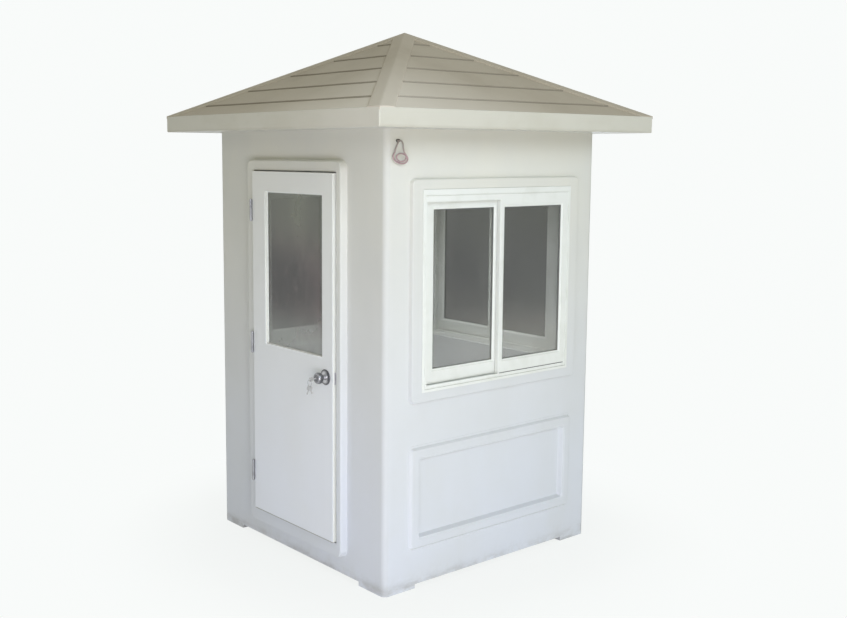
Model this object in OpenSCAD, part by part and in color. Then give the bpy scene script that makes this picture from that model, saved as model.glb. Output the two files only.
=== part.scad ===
// Moulded security guard booth: a square cabin on four corner feet, a half-glazed
// outward-opening door, sliding windows in the other three walls and a hipped roof
// with stepped laps. Front is -Y, the ground is z = 0, all sizes are millimetres.

/* [Cabin] */
// Width of the cabin over its side walls
cabin_w = 1370; // [1330:10:1600]
// Depth of the cabin over its front and back walls
cabin_d = 1370; // [1330:10:1600]
// Height from the ground to the underside of the eaves
soffit_h = 2100; // [2040:10:2400]
// Thickness of the moulded sandwich walls
wall_t = 50; // [45:1:70]
// Outside radius of the cabin's vertical corners
corner_r = 28; // [20:1:44]
// Height of the feet that the walls stand on
foot_h = 20; // [10:1:40]
// Length of each foot along each wall
foot_l = 185; // [120:5:260]
// Top of the floor above the ground
floor_top = 110; // [80:5:118]
// Thickness of the floor
floor_t = 70; // [40:5:80]
// Corner radius of the window surrounds and panels
moulding_r = 30; // [10:1:45]

/* [Door] */
// Width of the door leaf
leaf_w = 670; // [620:5:700]
// Height of the wall over the doorway
over_door = 189; // [165:1:260]
// Thickness of the door leaf
leaf_t = 40; // [36:1:46]
// Left edge of the leaf from the cabin's middle, to the left
leaf_left = 300; // [280:5:320]
// Bottom of the leaf above the ground
leaf_z = 180; // [160:2:190]
// How far the leaf stands out from the face of its surround
leaf_proud = 14.5; // [8:0.5:16]
// Gap at the leaf's hinge side, top and bottom
leaf_gap = 5; // [5:0.5:8]
// Gap at the leaf's latch side, which its corner swings through
latch_gap = 7; // [6.5:0.5:10]
// How far the door surround stands out from the wall
door_boss = 36; // [28:1:42]
// Width of the surround beside the hinge edge
door_margin_hinge = 70; // [60:1:90]
// Width of the surround beside the latch edge
door_margin_latch = 38; // [34:1:70]
// Width of the surround over the opening
door_margin_end = 55; // [45:1:60]
// Width of the surround under the opening
door_margin_low = 75; // [50:1:90]
// Corner radius of the door surround
door_moulding_r = 45; // [20:1:50]
// Width of the strips that the leaf closes against
stop_w = 15; // [12:1:18]
// Width of the leaf left of its glass
leaf_stile_hinge = 113; // [90:1:140]
// Width of the leaf right of its glass
leaf_stile_latch = 84; // [70:1:100]
// Height of the leaf over its glass
leaf_rail_top = 100; // [80:1:140]
// Height of the leaf below its glass
leaf_rail_low = 872; // [760:2:1000]
// Thickness of every pane
glass_t = 5; // [4:0.5:6]
// Depth of every glazing groove
groove = 6; // [4:0.5:8]

/* [Door hardware] */
// Length of each hinge
hinge_l = 104; // [90:2:120]
// Outside radius of the hinge knuckles
knuckle_r = 6; // [5:0.25:6.5]
// Radius of the hinge pins
pin_r = 3; // [2.5:0.25:3.5]
// Thickness of the hinge plates
plate_t = 2; // [1.5:0.1:2.2]
// Reach of each hinge plate behind the leaf's front face
plate_reach = 33; // [24:1:36]
// Height of the low hinge's middle above the leaf's bottom
hinge_low_in = 198; // [160:2:240]
// Distance of the high hinge's middle below the leaf's top
hinge_high_in = 195; // [160:2:240]
// Height of the knob above the leaf's bottom
knob_rise = 782; // [740:2:820]
// Distance of the knob's middle from the leaf's latch edge
backset = 57; // [52:1:64]
// Radius of the knob
knob_r = 27; // [24:0.5:30]
// Length of the knob's grip
grip_l = 30; // [26:1:34]
// Reach of the outer knob from the leaf
knob_reach = 54; // [50:1:66]
// Reach of the inner knob from the leaf
inner_reach = 54; // [50:1:66]
// Radius of the rose
rose_r = 37; // [32:0.5:39]
// Thickness of the rose
rose_t = 6; // [4:0.5:8]
// Radius of the knob's neck in the rose
neck_r = 12; // [10:0.5:14]
// Height of the latch faceplate
faceplate_h = 57; // [50:1:64]
// Width of the latch faceplate
faceplate_w = 22; // [18:1:24]
// Thickness of the latch faceplate
faceplate_t = 2.5; // [2:0.1:3]
// Thickness of the strike plate
strike_t = 2; // [1.5:0.1:2.5]
// Thickness of each key
key_t = 2; // [1.6:0.1:2.4]
// Radius of the keys' bows
bow_r = 11.5; // [10:0.5:13]
// Width of the keys' blades
blade_h = 7; // [6:0.5:8]
// Length of the spare keys below their holes
spare_key_l = 38; // [34:1:50]
// How far each spare key swings to its side, in degrees
spare_splay = 20; // [0:1:28]
// Radius of the split ring's middle line
ring_r = 15; // [13:0.5:18]

/* [Windows] */
// Width of each window frame
window_w = 976; // [900:4:1000]
// Height of the wall over each window frame
over_window = 263; // [220:1:300]
// Bottom of each window frame above the ground
window_z = 921; // [905:1:940]
// How far the mouldings round the windows stand out from the wall
window_boss = 22; // [14:1:30]
// Width of the moulding beside the frame
window_margin = 65; // [50:1:80]
// Height of the moulding over and under the frame
window_margin_end = 50; // [40:1:56]
// How far the frame's face stands out from its moulding
frame_proud = 3; // [1:0.5:6]
// Depth of the frame through the wall
frame_depth = 62; // [56:1:70]
// Face width of the frame's jambs
jamb_w = 28; // [24:1:44]
// Face height of the frame's sill
frame_sill = 30; // [24:1:40]
// Face height of the frame's head
frame_head = 57; // [40:1:64]
// Thickness of a sash
sash_t = 22; // [20:0.5:24]
// Width of the outer sash's stile at the jamb
outer_stile = 45; // [38:1:60]
// Width of the outer sash's meeting stile
outer_meeting = 31.5; // [28:0.5:50]
// Width of the inner sash's stile at the jamb
inner_stile = 71; // [45:1:76]
// Width of the inner sash's meeting stile
inner_meeting = 47; // [30:0.5:56]
// How far the outer sash passes the window's middle
outer_past = 3; // [2:0.5:20]
// How far the inner sash passes the window's middle
inner_past = 28; // [10:0.5:36]
// Height of the sash's bottom rail
sash_rail_low = 76; // [60:1:84]
// Height of the sash's top rail
sash_rail_top = 45; // [38:1:60]
// Setback of the outer sash from the frame's face
sash_set = 3; // [2:0.5:5]
// Depth of the pockets in the jambs that the sashes slide in
pocket = 20; // [14:1:22]
// How far each sash reaches into its jamb, the head and the sill
sash_in = 10; // [6:1:12]

/* [Panels] */
// Height of the moulded panel's lower edge above the ground
panel_z = 179; // [150:1:230]
// Height of the moulded panel
panel_h = 498; // [420:2:520]
// How far the panel's rim stands out from the wall
panel_boss = 15; // [8:1:22]
// How far the panel's field lies behind the wall face
panel_recess = 12; // [4:1:20]
// Width of the rim at its sides
panel_rim_side = 78; // [60:1:100]
// Width of the rim along its top and bottom
panel_rim_end = 78; // [50:1:100]

/* [Roof] */
// Overhang of the eaves beyond the walls
overhang = 202; // [150:1:260]
// Height of the fascia
fascia_h = 69; // [55:1:110]
// Thickness of the fascia
fascia_t = 20; // [14:1:30]
// Height of the roof from the fascia's top to its point
roof_rise = 422; // [340:2:520]
// Thickness of the roof moulding
roof_t = 22; // [16:1:30]
// Thickness of the soffit and ceiling panel
soffit_t = 12; // [8:1:20]
// Distance of the first lap from the eaves
lap_first = 121; // [100:1:150]
// Distance between laps
lap_pitch = 158; // [120:1:170]
// Height of the step at each lap
lap_step = 12; // [6:0.5:18]
// Half width of the hip capping on each slope
hip_w = 57; // [40:1:75]
// Height of the hip capping over the slopes
hip_rise = 15; // [13:0.5:20]

/* [Wire] */
// Diameter of the loop of wire at the top of the right wall
wire_d = 7; // [5:0.5:8]
// Distance of the wire's two holes below the eaves
wire_drop = 51; // [40:1:70]
// Distance of the wire's middle from the front of the cabin
wire_in = 66; // [60:1:80]

/* [Hidden] */
$fn = 48;

// Running clearance of pins and necks in their bores
run_fit = 0.05;
// Clearance of a piece that is set into another one
set_fit = 0.2;
// Axial gap between hinge knuckles
knuckle_gap = 0.4;
// A little more than nothing, for cutters that run past a face
over = 1;

hw = cabin_w / 2;
hd = cabin_d / 2;
eave_w = hw + overhang;
eave_d = hd + overhang;
wall_low = foot_h;
wall_top = soffit_h;

// Heights that follow the eaves
leaf_h = soffit_h - over_door - leaf_gap - leaf_z;
window_h = soffit_h - over_window - window_z;
wire_z = soffit_h - wire_drop;

// Door opening in the front wall
open_l = -leaf_left - leaf_gap;
open_r = -leaf_left + leaf_w + latch_gap;
open_low = leaf_z - leaf_gap;
open_top = leaf_z + leaf_h + leaf_gap;
surround_l = open_l - door_margin_hinge;
surround_r = open_r + door_margin_latch;
surround_low = open_low - door_margin_low;
surround_top = open_top + door_margin_end;
surround_face = -hd - door_boss;

// Door leaf
leaf_x = -leaf_left;
leaf_face = surround_face - leaf_proud;
leaf_back = leaf_face + leaf_t;
light_x = leaf_x + leaf_stile_hinge;
light_w = leaf_w - leaf_stile_hinge - leaf_stile_latch;
light_z = leaf_z + leaf_rail_low;
leaf_light_h = leaf_h - leaf_rail_top - leaf_rail_low;
knob_x = leaf_x + leaf_w - backset;
knob_z = leaf_z + knob_rise;
knob_front = leaf_face - knob_reach;
spindle_r = 8;
lock_bore_r = 20;
strike_more = 6;

// Knob's outline: share of its radius and place along its grip
grip_shape = [[0.7, 0], [0.93, 0.23], [1, 0.5], [0.93, 0.83], [0.78, 1]];
neck_flare = 8;

// Hinges: the pins stand just proud of the leaf's face, over the hinge gap
hinge_x = leaf_x - leaf_gap / 2;
hinge_stand = 0.5;
hinge_y = leaf_face - knuckle_r - hinge_stand;
hinge_low = leaf_z + hinge_low_in;
hinge_high = leaf_z + leaf_h - hinge_high_in;
hinge_heights = [hinge_low, (hinge_low + hinge_high) / 2, hinge_high];
knuckle_l = hinge_l / 3;
pin_head_r = 4.5;
pin_head_t = 3;
plate_step = 1;

// Keys: the lock's own key stands in the knob, and two hang on the split ring
bow_hole_r = 3;
bow_edge = 1.5;
bow_hole_out = bow_r - bow_hole_r - bow_edge;
blade_in = 8;
bow_stand = 18;
bow_y = knob_front - bow_stand - bow_r;
ring_wire_r = 1;
ring_play = 0.3;
ring_y = bow_y - bow_hole_out;
ring_top_z = knob_z - bow_hole_r + ring_wire_r + ring_play;
ring_mid_z = ring_top_z - ring_r;
spare_key_gap = 0.7;

// Windows, in a wall's own frame: x along the wall, -y outwards
frame_face = -window_boss - frame_proud;
frame_fit = set_fit;
frame_in_half = window_w / 2 - jamb_w;
frame_in_low = window_z + frame_sill;
frame_in_top = window_z + window_h - frame_head;
sash_low = frame_in_low - sash_in;
sash_top = frame_in_top + sash_in;
sash_reach = frame_in_half + sash_in;
outer_y = frame_face + sash_set;
track_gap = 2;
inner_y = outer_y + sash_t + track_gap;
surround_w = window_w + 2 * window_margin;

// Roof
slope_low = soffit_h + fascia_h;
apex_z = slope_low + roof_rise;
lap_lean = 1;

// Wire loop: points from its first hole, in x out of the wall, y along it and z up
wire_bend = [[0, 0, 0], [5, 0, 0], [10, -2, -2], [14, -5, -7], [16, -10, -15], [17, -16, -25],
             [16, -21, -36], [16, -24, -48], [14, -29, -58], [13, -32, -69], [13, -27, -81],
             [13, -14, -91], [13, 3, -97], [14, 20, -99], [15, 36, -96], [16, 46, -86],
             [17, 46, -75], [19, 37, -66], [20, 24, -60], [21, 9, -56], [22, -6, -57],
             [23, -18, -63], [23, -22, -73], [23, -16, -83], [23, -4, -89], [24, 10, -90],
             [25, 22, -86], [26, 29, -76], [28, 28, -64], [28, 18, -52], [27, 15, -40],
             [25, 14, -28], [23, 15, -18], [19, 15, -10], [15, 14, -4], [10, 11, -1], [5, 10, 0],
             [0, 10, 0]];
wire_hole_gap = 10;
bush_r = 6.5;
bush_t = 2.5;
wire_sides = 8;

// One wall's own frame carried to its side of the cabin
module on_wall(side) {
    if (side == "front") translate([0, -hd, 0]) children();
    if (side == "right") translate([hw, 0, 0]) rotate([0, 0, 90]) children();
    if (side == "back") translate([0, hd, 0]) rotate([0, 0, 180]) children();
    if (side == "left") translate([-hw, 0, 0]) rotate([0, 0, 270]) children();
}

// Block between two corners
module block(low, high) {
    translate(low) cube(high - low);
}

// Upright slab with rounded corners, its face towards -y
module rounded_slab(x0, x1, z0, z1, y0, y1, r) {
    block([x0 + r, y0, z0], [x1 - r, y1, z1]);
    block([x0, y0, z0 + r], [x1, y1, z1 - r]);
    for (x = [x0 + r, x1 - r], z = [z0 + r, z1 - r])
        translate([x, y1, z]) rotate([90, 0, 0]) cylinder(r = r, h = y1 - y0);
}

module corner_feet() {
    color("gainsboro")
    for (sx = [-1, 1], sy = [-1, 1])
        at_corner(sx, sy) {
            corner_post(foot_h);
            block([wall_t, 0, 0], [foot_l, wall_t, foot_h]);
            block([0, wall_t, 0], [wall_t, foot_l, foot_h]);
        }
}

// Corner frame: x and y run inwards from the cabin's outside corner
module at_corner(sx, sy) {
    translate([sx * hw, sy * hd, 0]) mirror([sx > 0 ? 1 : 0, 0, 0])
        mirror([0, sy > 0 ? 1 : 0, 0]) children();
}

// Square post whose outside edge is rounded
module corner_post(h) {
    intersection() {
        translate([corner_r, corner_r, 0]) cylinder(r = corner_r, h = h, $fn = 96);
        block([0, 0, 0], [wall_t, wall_t, h]);
    }
    block([corner_r, 0, 0], [wall_t, wall_t, h]);
    block([0, corner_r, 0], [wall_t, wall_t, h]);
}

module corner_posts() {
    color("whitesmoke")
    for (sx = [-1, 1], sy = [-1, 1])
        at_corner(sx, sy) translate([0, 0, wall_low]) corner_post(wall_top - wall_low);
}

module floor_slab() {
    color("silver")
    block([-hw + wall_t, -hd + wall_t, floor_top - floor_t], [hw - wall_t, hd - wall_t, floor_top]);
}

// The front wall with its door surround, before the opening is cut
module front_blank() {
    block([-hw + wall_t, -hd, wall_low], [hw - wall_t, -hd + wall_t, wall_top]);
    rounded_slab(surround_l, surround_r, surround_low, surround_top,
                 surround_face, -hd, door_moulding_r);
}

// Part of the front wall between two widths and two heights
module front_part(x0, x1, z0, z1) {
    intersection() {
        front_blank();
        block([x0, surround_face - over, z0], [x1, -hd + wall_t + over, z1]);
    }
}

module front_wall_left() {
    color("whitesmoke") front_part(-hw, open_l, wall_low, wall_top);
}

module front_wall_right() {
    color("whitesmoke")
    difference() {
        front_part(open_r, hw, wall_low, wall_top);
        strike_block(set_fit);
    }
}

module front_wall_head() {
    color("whitesmoke") front_part(open_l, open_r, open_top, wall_top);
}

module front_wall_sill() {
    color("whitesmoke") front_part(open_l, open_r, wall_low, open_low);
}

// Wall with a sliding window above a moulded panel
module window_wall(half) {
    frame_w = window_w / 2 + frame_fit;
    rim_x = surround_w / 2;
    panel_top = panel_z + panel_h;
    difference() {
        union() {
            block([-half + wall_t, 0, wall_low], [half - wall_t, wall_t, wall_top]);
            rounded_slab(-rim_x, rim_x, window_z - window_margin_end,
                         window_z + window_h + window_margin_end, -window_boss, 0, moulding_r);
            rounded_slab(-rim_x, rim_x, panel_z, panel_top, -panel_boss, 0, moulding_r);
        }
        block([-frame_w, -window_boss - over, window_z - frame_fit],
              [frame_w, wall_t + over, window_z + window_h + frame_fit]);
        block([-rim_x + panel_rim_side, -panel_boss - over, panel_z + panel_rim_end],
              [rim_x - panel_rim_side, panel_recess, panel_top - panel_rim_end]);
    }
}

// Two holes behind the wire's bushes
module wire_holes() {
    for (n = [0, 1])
        translate([hw - wall_t - over, wire_y(n), wire_z]) rotate([0, 90, 0])
            cylinder(r = wire_d / 2 + run_fit, h = wall_t + 2 * over, $fn = 24);
}

function wire_y(n) = -hd + wire_in + (n - 0.5) * wire_hole_gap;

module right_wall() {
    color("whitesmoke")
    difference() {
        on_wall("right") window_wall(hd);
        wire_holes();
    }
}

module left_wall() {
    color("whitesmoke") on_wall("left") window_wall(hd);
}

module back_wall() {
    color("whitesmoke") on_wall("back") window_wall(hw);
}

// Strips inside the doorway that the leaf closes against
module door_stops() {
    y0 = leaf_back + leaf_gap;
    y1 = -hd + wall_t;
    color("white") {
        block([open_l, y0, open_low], [open_l + stop_w, y1, open_top]);
        block([open_r - stop_w, y0, open_low], [open_r, y1, open_top]);
        block([open_l + stop_w, y0, open_top - stop_w], [open_r - stop_w, y1, open_top]);
    }
}

module door_leaf() {
    color("white")
    difference() {
        block([leaf_x, leaf_face, leaf_z], [leaf_x + leaf_w, leaf_back, leaf_z + leaf_h]);
        block([light_x, leaf_face - over, light_z],
              [light_x + light_w, leaf_back + over, light_z + leaf_light_h]);
        pane(light_x, light_x + light_w, light_z, light_z + leaf_light_h,
             leaf_face + leaf_t / 2);
        translate([knob_x, leaf_face - over, knob_z]) rotate([-90, 0, 0])
            cylinder(r = lock_bore_r, h = leaf_t + 2 * over);
        faceplate_block(set_fit);
    }
}

// Pane that reaches into the groove round an opening, its middle at mid_y
module pane(x0, x1, z0, z1, mid_y) {
    block([x0 - groove, mid_y - glass_t / 2, z0 - groove],
          [x1 + groove, mid_y + glass_t / 2, z1 + groove]);
}

module door_glass() {
    color("slategray")
    pane(light_x, light_x + light_w, light_z, light_z + leaf_light_h, leaf_face + leaf_t / 2);
}

// One hinge's plate with its outer knuckles, before the bore
module fixed_leaf(z) {
    low = z - hinge_l / 2;
    translate([hinge_x, hinge_y, low]) cylinder(r = knuckle_r, h = knuckle_l);
    translate([hinge_x, hinge_y, low + 2 * knuckle_l]) cylinder(r = knuckle_r, h = knuckle_l);
    x0 = open_l;
    y1 = leaf_face + plate_reach;
    block([x0, hinge_y, low], [x0 + plate_t, y1, low + knuckle_l]);
    block([x0, hinge_y, low + 2 * knuckle_l], [x0 + plate_t, y1, low + hinge_l]);
    block([x0, hinge_y + knuckle_r + plate_step, low], [x0 + plate_t, y1, low + hinge_l]);
}

module hinge_fixed_leaves() {
    color("silver")
    for (z = hinge_heights)
        difference() {
            fixed_leaf(z);
            hinge_bore(z);
        }
}

module hinge_bore(z) {
    translate([hinge_x, hinge_y, z - hinge_l / 2 - over])
        cylinder(r = pin_r + run_fit, h = hinge_l + 2 * over);
}

module hinge_moving_leaves() {
    color("silver")
    for (z = hinge_heights)
        difference() {
            union() {
                low = z - knuckle_l / 2 + knuckle_gap;
                high = z + knuckle_l / 2 - knuckle_gap;
                translate([hinge_x, hinge_y, low]) cylinder(r = knuckle_r, h = high - low);
                x1 = leaf_x;
                y1 = leaf_face + plate_reach;
                block([x1 - plate_t, hinge_y, low], [x1, y1, high]);
                block([x1 - plate_t, leaf_face, z - hinge_l / 2], [x1, y1, z + hinge_l / 2]);
            }
            hinge_bore(z);
        }
}

module hinge_pins() {
    color("lightgray")
    for (z = hinge_heights)
        translate([hinge_x, hinge_y, z - hinge_l / 2]) {
            cylinder(r = pin_r, h = hinge_l);
            translate([0, 0, hinge_l]) cylinder(r = pin_head_r, h = pin_head_t);
            translate([0, 0, -pin_head_t]) cylinder(r = pin_head_r, h = pin_head_t);
        }
}

// Latch faceplate, let in flush with the leaf's edge
module faceplate_block(fit) {
    y0 = leaf_face + leaf_t / 2 - faceplate_w / 2;
    x1 = leaf_x + leaf_w;
    block([x1 - faceplate_t, y0 - fit, knob_z - faceplate_h / 2 - fit],
          [x1 + (fit > 0 ? over : 0), y0 + faceplate_w + fit, knob_z + faceplate_h / 2 + fit]);
}

module latch_faceplate() {
    color("gray") faceplate_block(0);
}

// Strike plate, let in flush with the opening's latch side
module strike_block(fit) {
    y0 = leaf_face + leaf_t / 2 - faceplate_w / 2 + leaf_proud / 2;
    half = faceplate_h / 2 + strike_more + fit;
    block([open_r - (fit > 0 ? over : 0), y0 - fit, knob_z - half],
          [open_r + strike_t, y0 + faceplate_w + fit, knob_z + half]);
}

module strike_plate() {
    color("gray") strike_block(0);
}

// Rose against one face of the leaf
module rose(y, dir) {
    translate([knob_x, y, knob_z]) rotate([dir * 90, 0, 0])
        difference() {
            cylinder(r = rose_r, h = rose_t);
            translate([0, 0, -over]) cylinder(r = neck_r + run_fit, h = rose_t + 2 * over);
        }
}

module lock_roses() {
    color("gray") {
        rose(leaf_face, 1);
        rose(leaf_back, -1);
    }
}

// Knob turned about its own axis, its neck starting inside the leaf
module knob(reach) {
    inside = leaf_t / 2 - over;
    grip = [for (p = grip_shape) [knob_r * p[0], reach - grip_l * (1 - p[1])]];
    rotate_extrude($fn = 72)
        polygon(concat([[0, -inside], [spindle_r, -inside], [spindle_r, 0], [neck_r, 0],
                        [neck_r, reach - grip_l - neck_flare]],
                       grip, [[0, reach]]));
}

module outer_knob() {
    color("gray")
    difference() {
        translate([knob_x, leaf_face, knob_z]) rotate([90, 0, 0]) knob(knob_reach);
        key_slot();
    }
}

module inner_knob() {
    color("gray")
    translate([knob_x, leaf_back, knob_z]) rotate([-90, 0, 0]) knob(inner_reach);
}

// Slot in the knob's face that holds the key's blade
module key_slot() {
    block([knob_x - key_t / 2, knob_front - over, knob_z - blade_h / 2],
          [knob_x + key_t / 2, knob_front + blade_in, knob_z + blade_h / 2]);
}

module lock_key() {
    color("goldenrod")
    difference() {
        union() {
            translate([knob_x - key_t / 2, bow_y, knob_z]) rotate([0, 90, 0])
                cylinder(r = bow_r, h = key_t);
            block([knob_x - key_t / 2, bow_y, knob_z - blade_h / 2],
                  [knob_x + key_t / 2, knob_front + blade_in, knob_z + blade_h / 2]);
        }
        translate([knob_x - key_t, ring_y, knob_z]) rotate([0, 90, 0])
            cylinder(r = bow_hole_r, h = 2 * key_t);
    }
}

module key_ring() {
    color("silver")
    translate([knob_x, ring_y, ring_mid_z]) rotate([90, 0, 0])
        rotate_extrude($fn = 64) translate([ring_r, 0]) circle(r = ring_wire_r, $fn = 16);
}

// Two keys that hang on the split ring
module spare_keys() {
    hole_z = ring_mid_z - ring_r - bow_hole_r + ring_wire_r + ring_play;
    color("silver")
    for (s = [-1, 1])
        translate([knob_x + s * (key_t + spare_key_gap) / 2 - key_t / 2, ring_y, hole_z])
            rotate([s * spare_splay, 0, 0])
            difference() {
                union() {
                    translate([0, 0, -bow_hole_out]) rotate([0, 90, 0])
                        cylinder(r = bow_r, h = key_t);
                    block([0, -blade_h / 2, -spare_key_l], [key_t, blade_h / 2, -bow_hole_out]);
                }
                translate([-over, 0, 0]) rotate([0, 90, 0])
                    cylinder(r = bow_hole_r, h = key_t + 2 * over);
            }
}

// Window frame with pockets for two sashes, in its wall's own frame
module window_frame() {
    y1 = frame_face + frame_depth;
    difference() {
        block([-window_w / 2, frame_face, window_z], [window_w / 2, y1, window_z + window_h]);
        block([-frame_in_half, frame_face - over, frame_in_low],
              [frame_in_half, y1 + over, frame_in_top]);
        for (y = [outer_y, inner_y])
            block([-frame_in_half - pocket, y - set_fit, sash_low - set_fit],
                  [frame_in_half + pocket, y + sash_t + set_fit, sash_top + set_fit]);
    }
}

// One sash from x0 to x1, with its own stile widths
module sash(x0, x1, y0, stile_l, stile_r) {
    difference() {
        block([x0, y0, sash_low], [x1, y0 + sash_t, sash_top]);
        block([x0 + stile_l, y0 - over, sash_low + sash_rail_low],
              [x1 - stile_r, y0 + sash_t + over, sash_top - sash_rail_top]);
        sash_pane(x0, x1, y0, stile_l, stile_r);
    }
}

module sash_pane(x0, x1, y0, stile_l, stile_r) {
    pane(x0 + stile_l, x1 - stile_r, sash_low + sash_rail_low, sash_top - sash_rail_top,
         y0 + sash_t / 2);
}

module window_sashes() {
    sash(-outer_past, sash_reach, outer_y, outer_meeting, outer_stile);
    sash(-sash_reach, inner_past, inner_y, inner_stile, inner_meeting);
}

module window_glass() {
    sash_pane(-outer_past, sash_reach, outer_y, outer_meeting, outer_stile);
    sash_pane(-sash_reach, inner_past, inner_y, inner_stile, inner_meeting);
}

module window_frame_right() { color("white") on_wall("right") window_frame(); }
module window_frame_left() { color("white") on_wall("left") window_frame(); }
module window_frame_back() { color("white") on_wall("back") window_frame(); }
module window_sashes_right() { color("white") on_wall("right") window_sashes(); }
module window_sashes_left() { color("white") on_wall("left") window_sashes(); }
module window_sashes_back() { color("white") on_wall("back") window_sashes(); }
module window_glass_right() { color("slategray") on_wall("right") window_glass(); }
module window_glass_left() { color("slategray") on_wall("left") window_glass(); }
module window_glass_back() { color("slategray") on_wall("back") window_glass(); }

// Flat panel that is the soffit outside the walls and the ceiling inside them
module soffit_panel() {
    color("gainsboro")
    block([-eave_w + fascia_t, -eave_d + fascia_t, soffit_h],
          [eave_w - fascia_t, eave_d - fascia_t, soffit_h + soffit_t]);
}

module roof_fascia() {
    color("beige")
    difference() {
        block([-eave_w, -eave_d, soffit_h], [eave_w, eave_d, slope_low]);
        block([-eave_w + fascia_t, -eave_d + fascia_t, soffit_h - over],
              [eave_w - fascia_t, eave_d - fascia_t, slope_low + over]);
    }
}

// Height of a slope at a distance out from the middle, for eaves at reach
function slope_z(out, reach) = apex_z - roof_rise * out / reach;

// Points up one stepped slope, from the eaves to the point
function lap_points(reach) =
    let (laps = [for (out = [reach - lap_first : -lap_pitch : lap_pitch / 2]) out])
    concat([[reach, slope_z(reach, reach)],
            [reach - lap_lean, slope_z(reach, reach) + lap_step]],
           [for (out = laps) each [[out, slope_z(out, reach)],
                                   [out, slope_z(out, reach) + lap_step]]],
           [[0, apex_z]]);

// Stepped prism whose section is one slope and its own mirror image
module lap_prism(reach, span) {
    pts = lap_points(reach);
    back = [for (n = [len(pts) - 2 : -1 : 0]) [-pts[n][0], pts[n][1]]];
    rotate([90, 0, 0]) translate([0, 0, -span])
        linear_extrude(2 * span) polygon(concat(pts, back));
}

// Plain prism for a pyramid that lies lift above the slopes' own plane
module plain_prism(reach, span, lift) {
    rotate([90, 0, 0]) translate([0, 0, -span])
        linear_extrude(2 * span)
            polygon([[reach, slope_low + lift], [0, apex_z + lift], [-reach, slope_low + lift],
                     [-reach, slope_low - fascia_h], [reach, slope_low - fascia_h]]);
}

module plain_pyramid(lift) {
    intersection() {
        plain_prism(eave_w, eave_d, lift);
        rotate([0, 0, 90]) plain_prism(eave_d, eave_w, lift);
    }
}

// Quarter of the plan that belongs to one slope
module slope_quarter(side) {
    far_w = side == "right" ? eave_w : -eave_w;
    far_d = side == "back" ? eave_d : -eave_d;
    translate([0, 0, slope_low - over]) linear_extrude(roof_rise + lap_step + 2 * over)
        if (side == "right" || side == "left")
            polygon([[0, 0], [far_w, -eave_d], [far_w, eave_d]]);
        else
            polygon([[0, 0], [-eave_w, far_d], [eave_w, far_d]]);
}

// One slope of the roof moulding, with its laps
module roof_slope(side) {
    across = side == "right" || side == "left";
    intersection() {
        difference() {
            if (across) lap_prism(eave_w, eave_d);
            else rotate([0, 0, 90]) lap_prism(eave_d, eave_w);
            plain_pyramid(-roof_t);
            block([-eave_w, -eave_d, 0], [eave_w, eave_d, slope_low]);
        }
        slope_quarter(side);
    }
}

module roof_slope_front() { color("tan") roof_slope("front"); }
module roof_slope_right() { color("tan") roof_slope("right"); }
module roof_slope_back() { color("tan") roof_slope("back"); }
module roof_slope_left() { color("tan") roof_slope("left"); }

// Raised capping along the four hips, in one piece with its point
module hip_capping() {
    color("tan")
    difference() {
        intersection() {
            plain_pyramid(hip_rise);
            union() {
                hip_strip(1);
                hip_strip(-1);
            }
            block([-eave_w, -eave_d, slope_low], [eave_w, eave_d, apex_z + hip_rise + over]);
        }
        for (side = ["right", "left"]) roof_slope(side);
        for (side = ["front", "back"]) roof_slope(side);
        plain_pyramid(-roof_t / 2);
    }
}

// Upright strip along one diagonal of the roof
module hip_strip(s) {
    reach = norm([eave_w, eave_d]) + over;
    rotate([0, 0, s * atan2(eave_d, eave_w)])
        block([-reach, -hip_w, 0], [reach, hip_w, apex_z + hip_rise + over]);
}

// Bush round the wire's two holes
module wire_bush() {
    color("gray")
    difference() {
        union() {
            for (n = [0, 1]) at_wire_hole(n) cylinder(r = bush_r, h = bush_t, $fn = 32);
            block([hw, wire_y(0), wire_z - bush_r], [hw + bush_t, wire_y(1), wire_z + bush_r]);
        }
        for (n = [0, 1])
            at_wire_hole(n) translate([0, 0, -over])
                cylinder(r = wire_d / 2 + run_fit, h = bush_t + 2 * over, $fn = 24);
    }
}

module at_wire_hole(n) {
    translate([hw, wire_y(n), wire_z]) rotate([0, 90, 0]) children();
}

// Points and frames for the wire's tube
function unit(v) = v / norm(v);
function wire_start() = [hw, wire_y(0), wire_z];
function spline(p, n, t) =
    let (a = p[max(n - 1, 0)], b = p[n], c = p[n + 1], d = p[min(n + 2, len(p) - 1)])
    0.5 * (2 * b + (c - a) * t + (2 * a - 5 * b + 4 * c - d) * t * t
           + (3 * b - a - 3 * c + d) * t * t * t);

module wire_loop() {
    steps = 2;
    path = concat([for (n = [0 : len(wire_bend) - 2], k = [0 : steps - 1])
                      wire_start() + spline(wire_bend, n, k / steps)],
                  [wire_start() + wire_bend[len(wire_bend) - 1]]);
    last = len(path) - 1;
    tangent = [for (n = [0 : last]) unit(path[min(n + 1, last)] - path[max(n - 1, 0)])];
    side = [for (n = [0 : last]) unit(cross(tangent[n], [0.9, 0.3, 0.31]))];
    points = [for (n = [0 : last], k = [0 : wire_sides - 1])
        path[n] + wire_d / 2 * (cos(360 * k / wire_sides) * side[n]
                                + sin(360 * k / wire_sides) * cross(tangent[n], side[n]))];
    quads = [for (n = [0 : last - 1], k = [0 : wire_sides - 1])
        [n * wire_sides + k, n * wire_sides + (k + 1) % wire_sides,
         (n + 1) * wire_sides + (k + 1) % wire_sides, (n + 1) * wire_sides + k]];
    ends = [[for (k = [wire_sides - 1 : -1 : 0]) k],
            [for (k = [0 : wire_sides - 1]) last * wire_sides + k]];
    color("rosybrown") polyhedron(points, concat(quads, ends));
}

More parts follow.
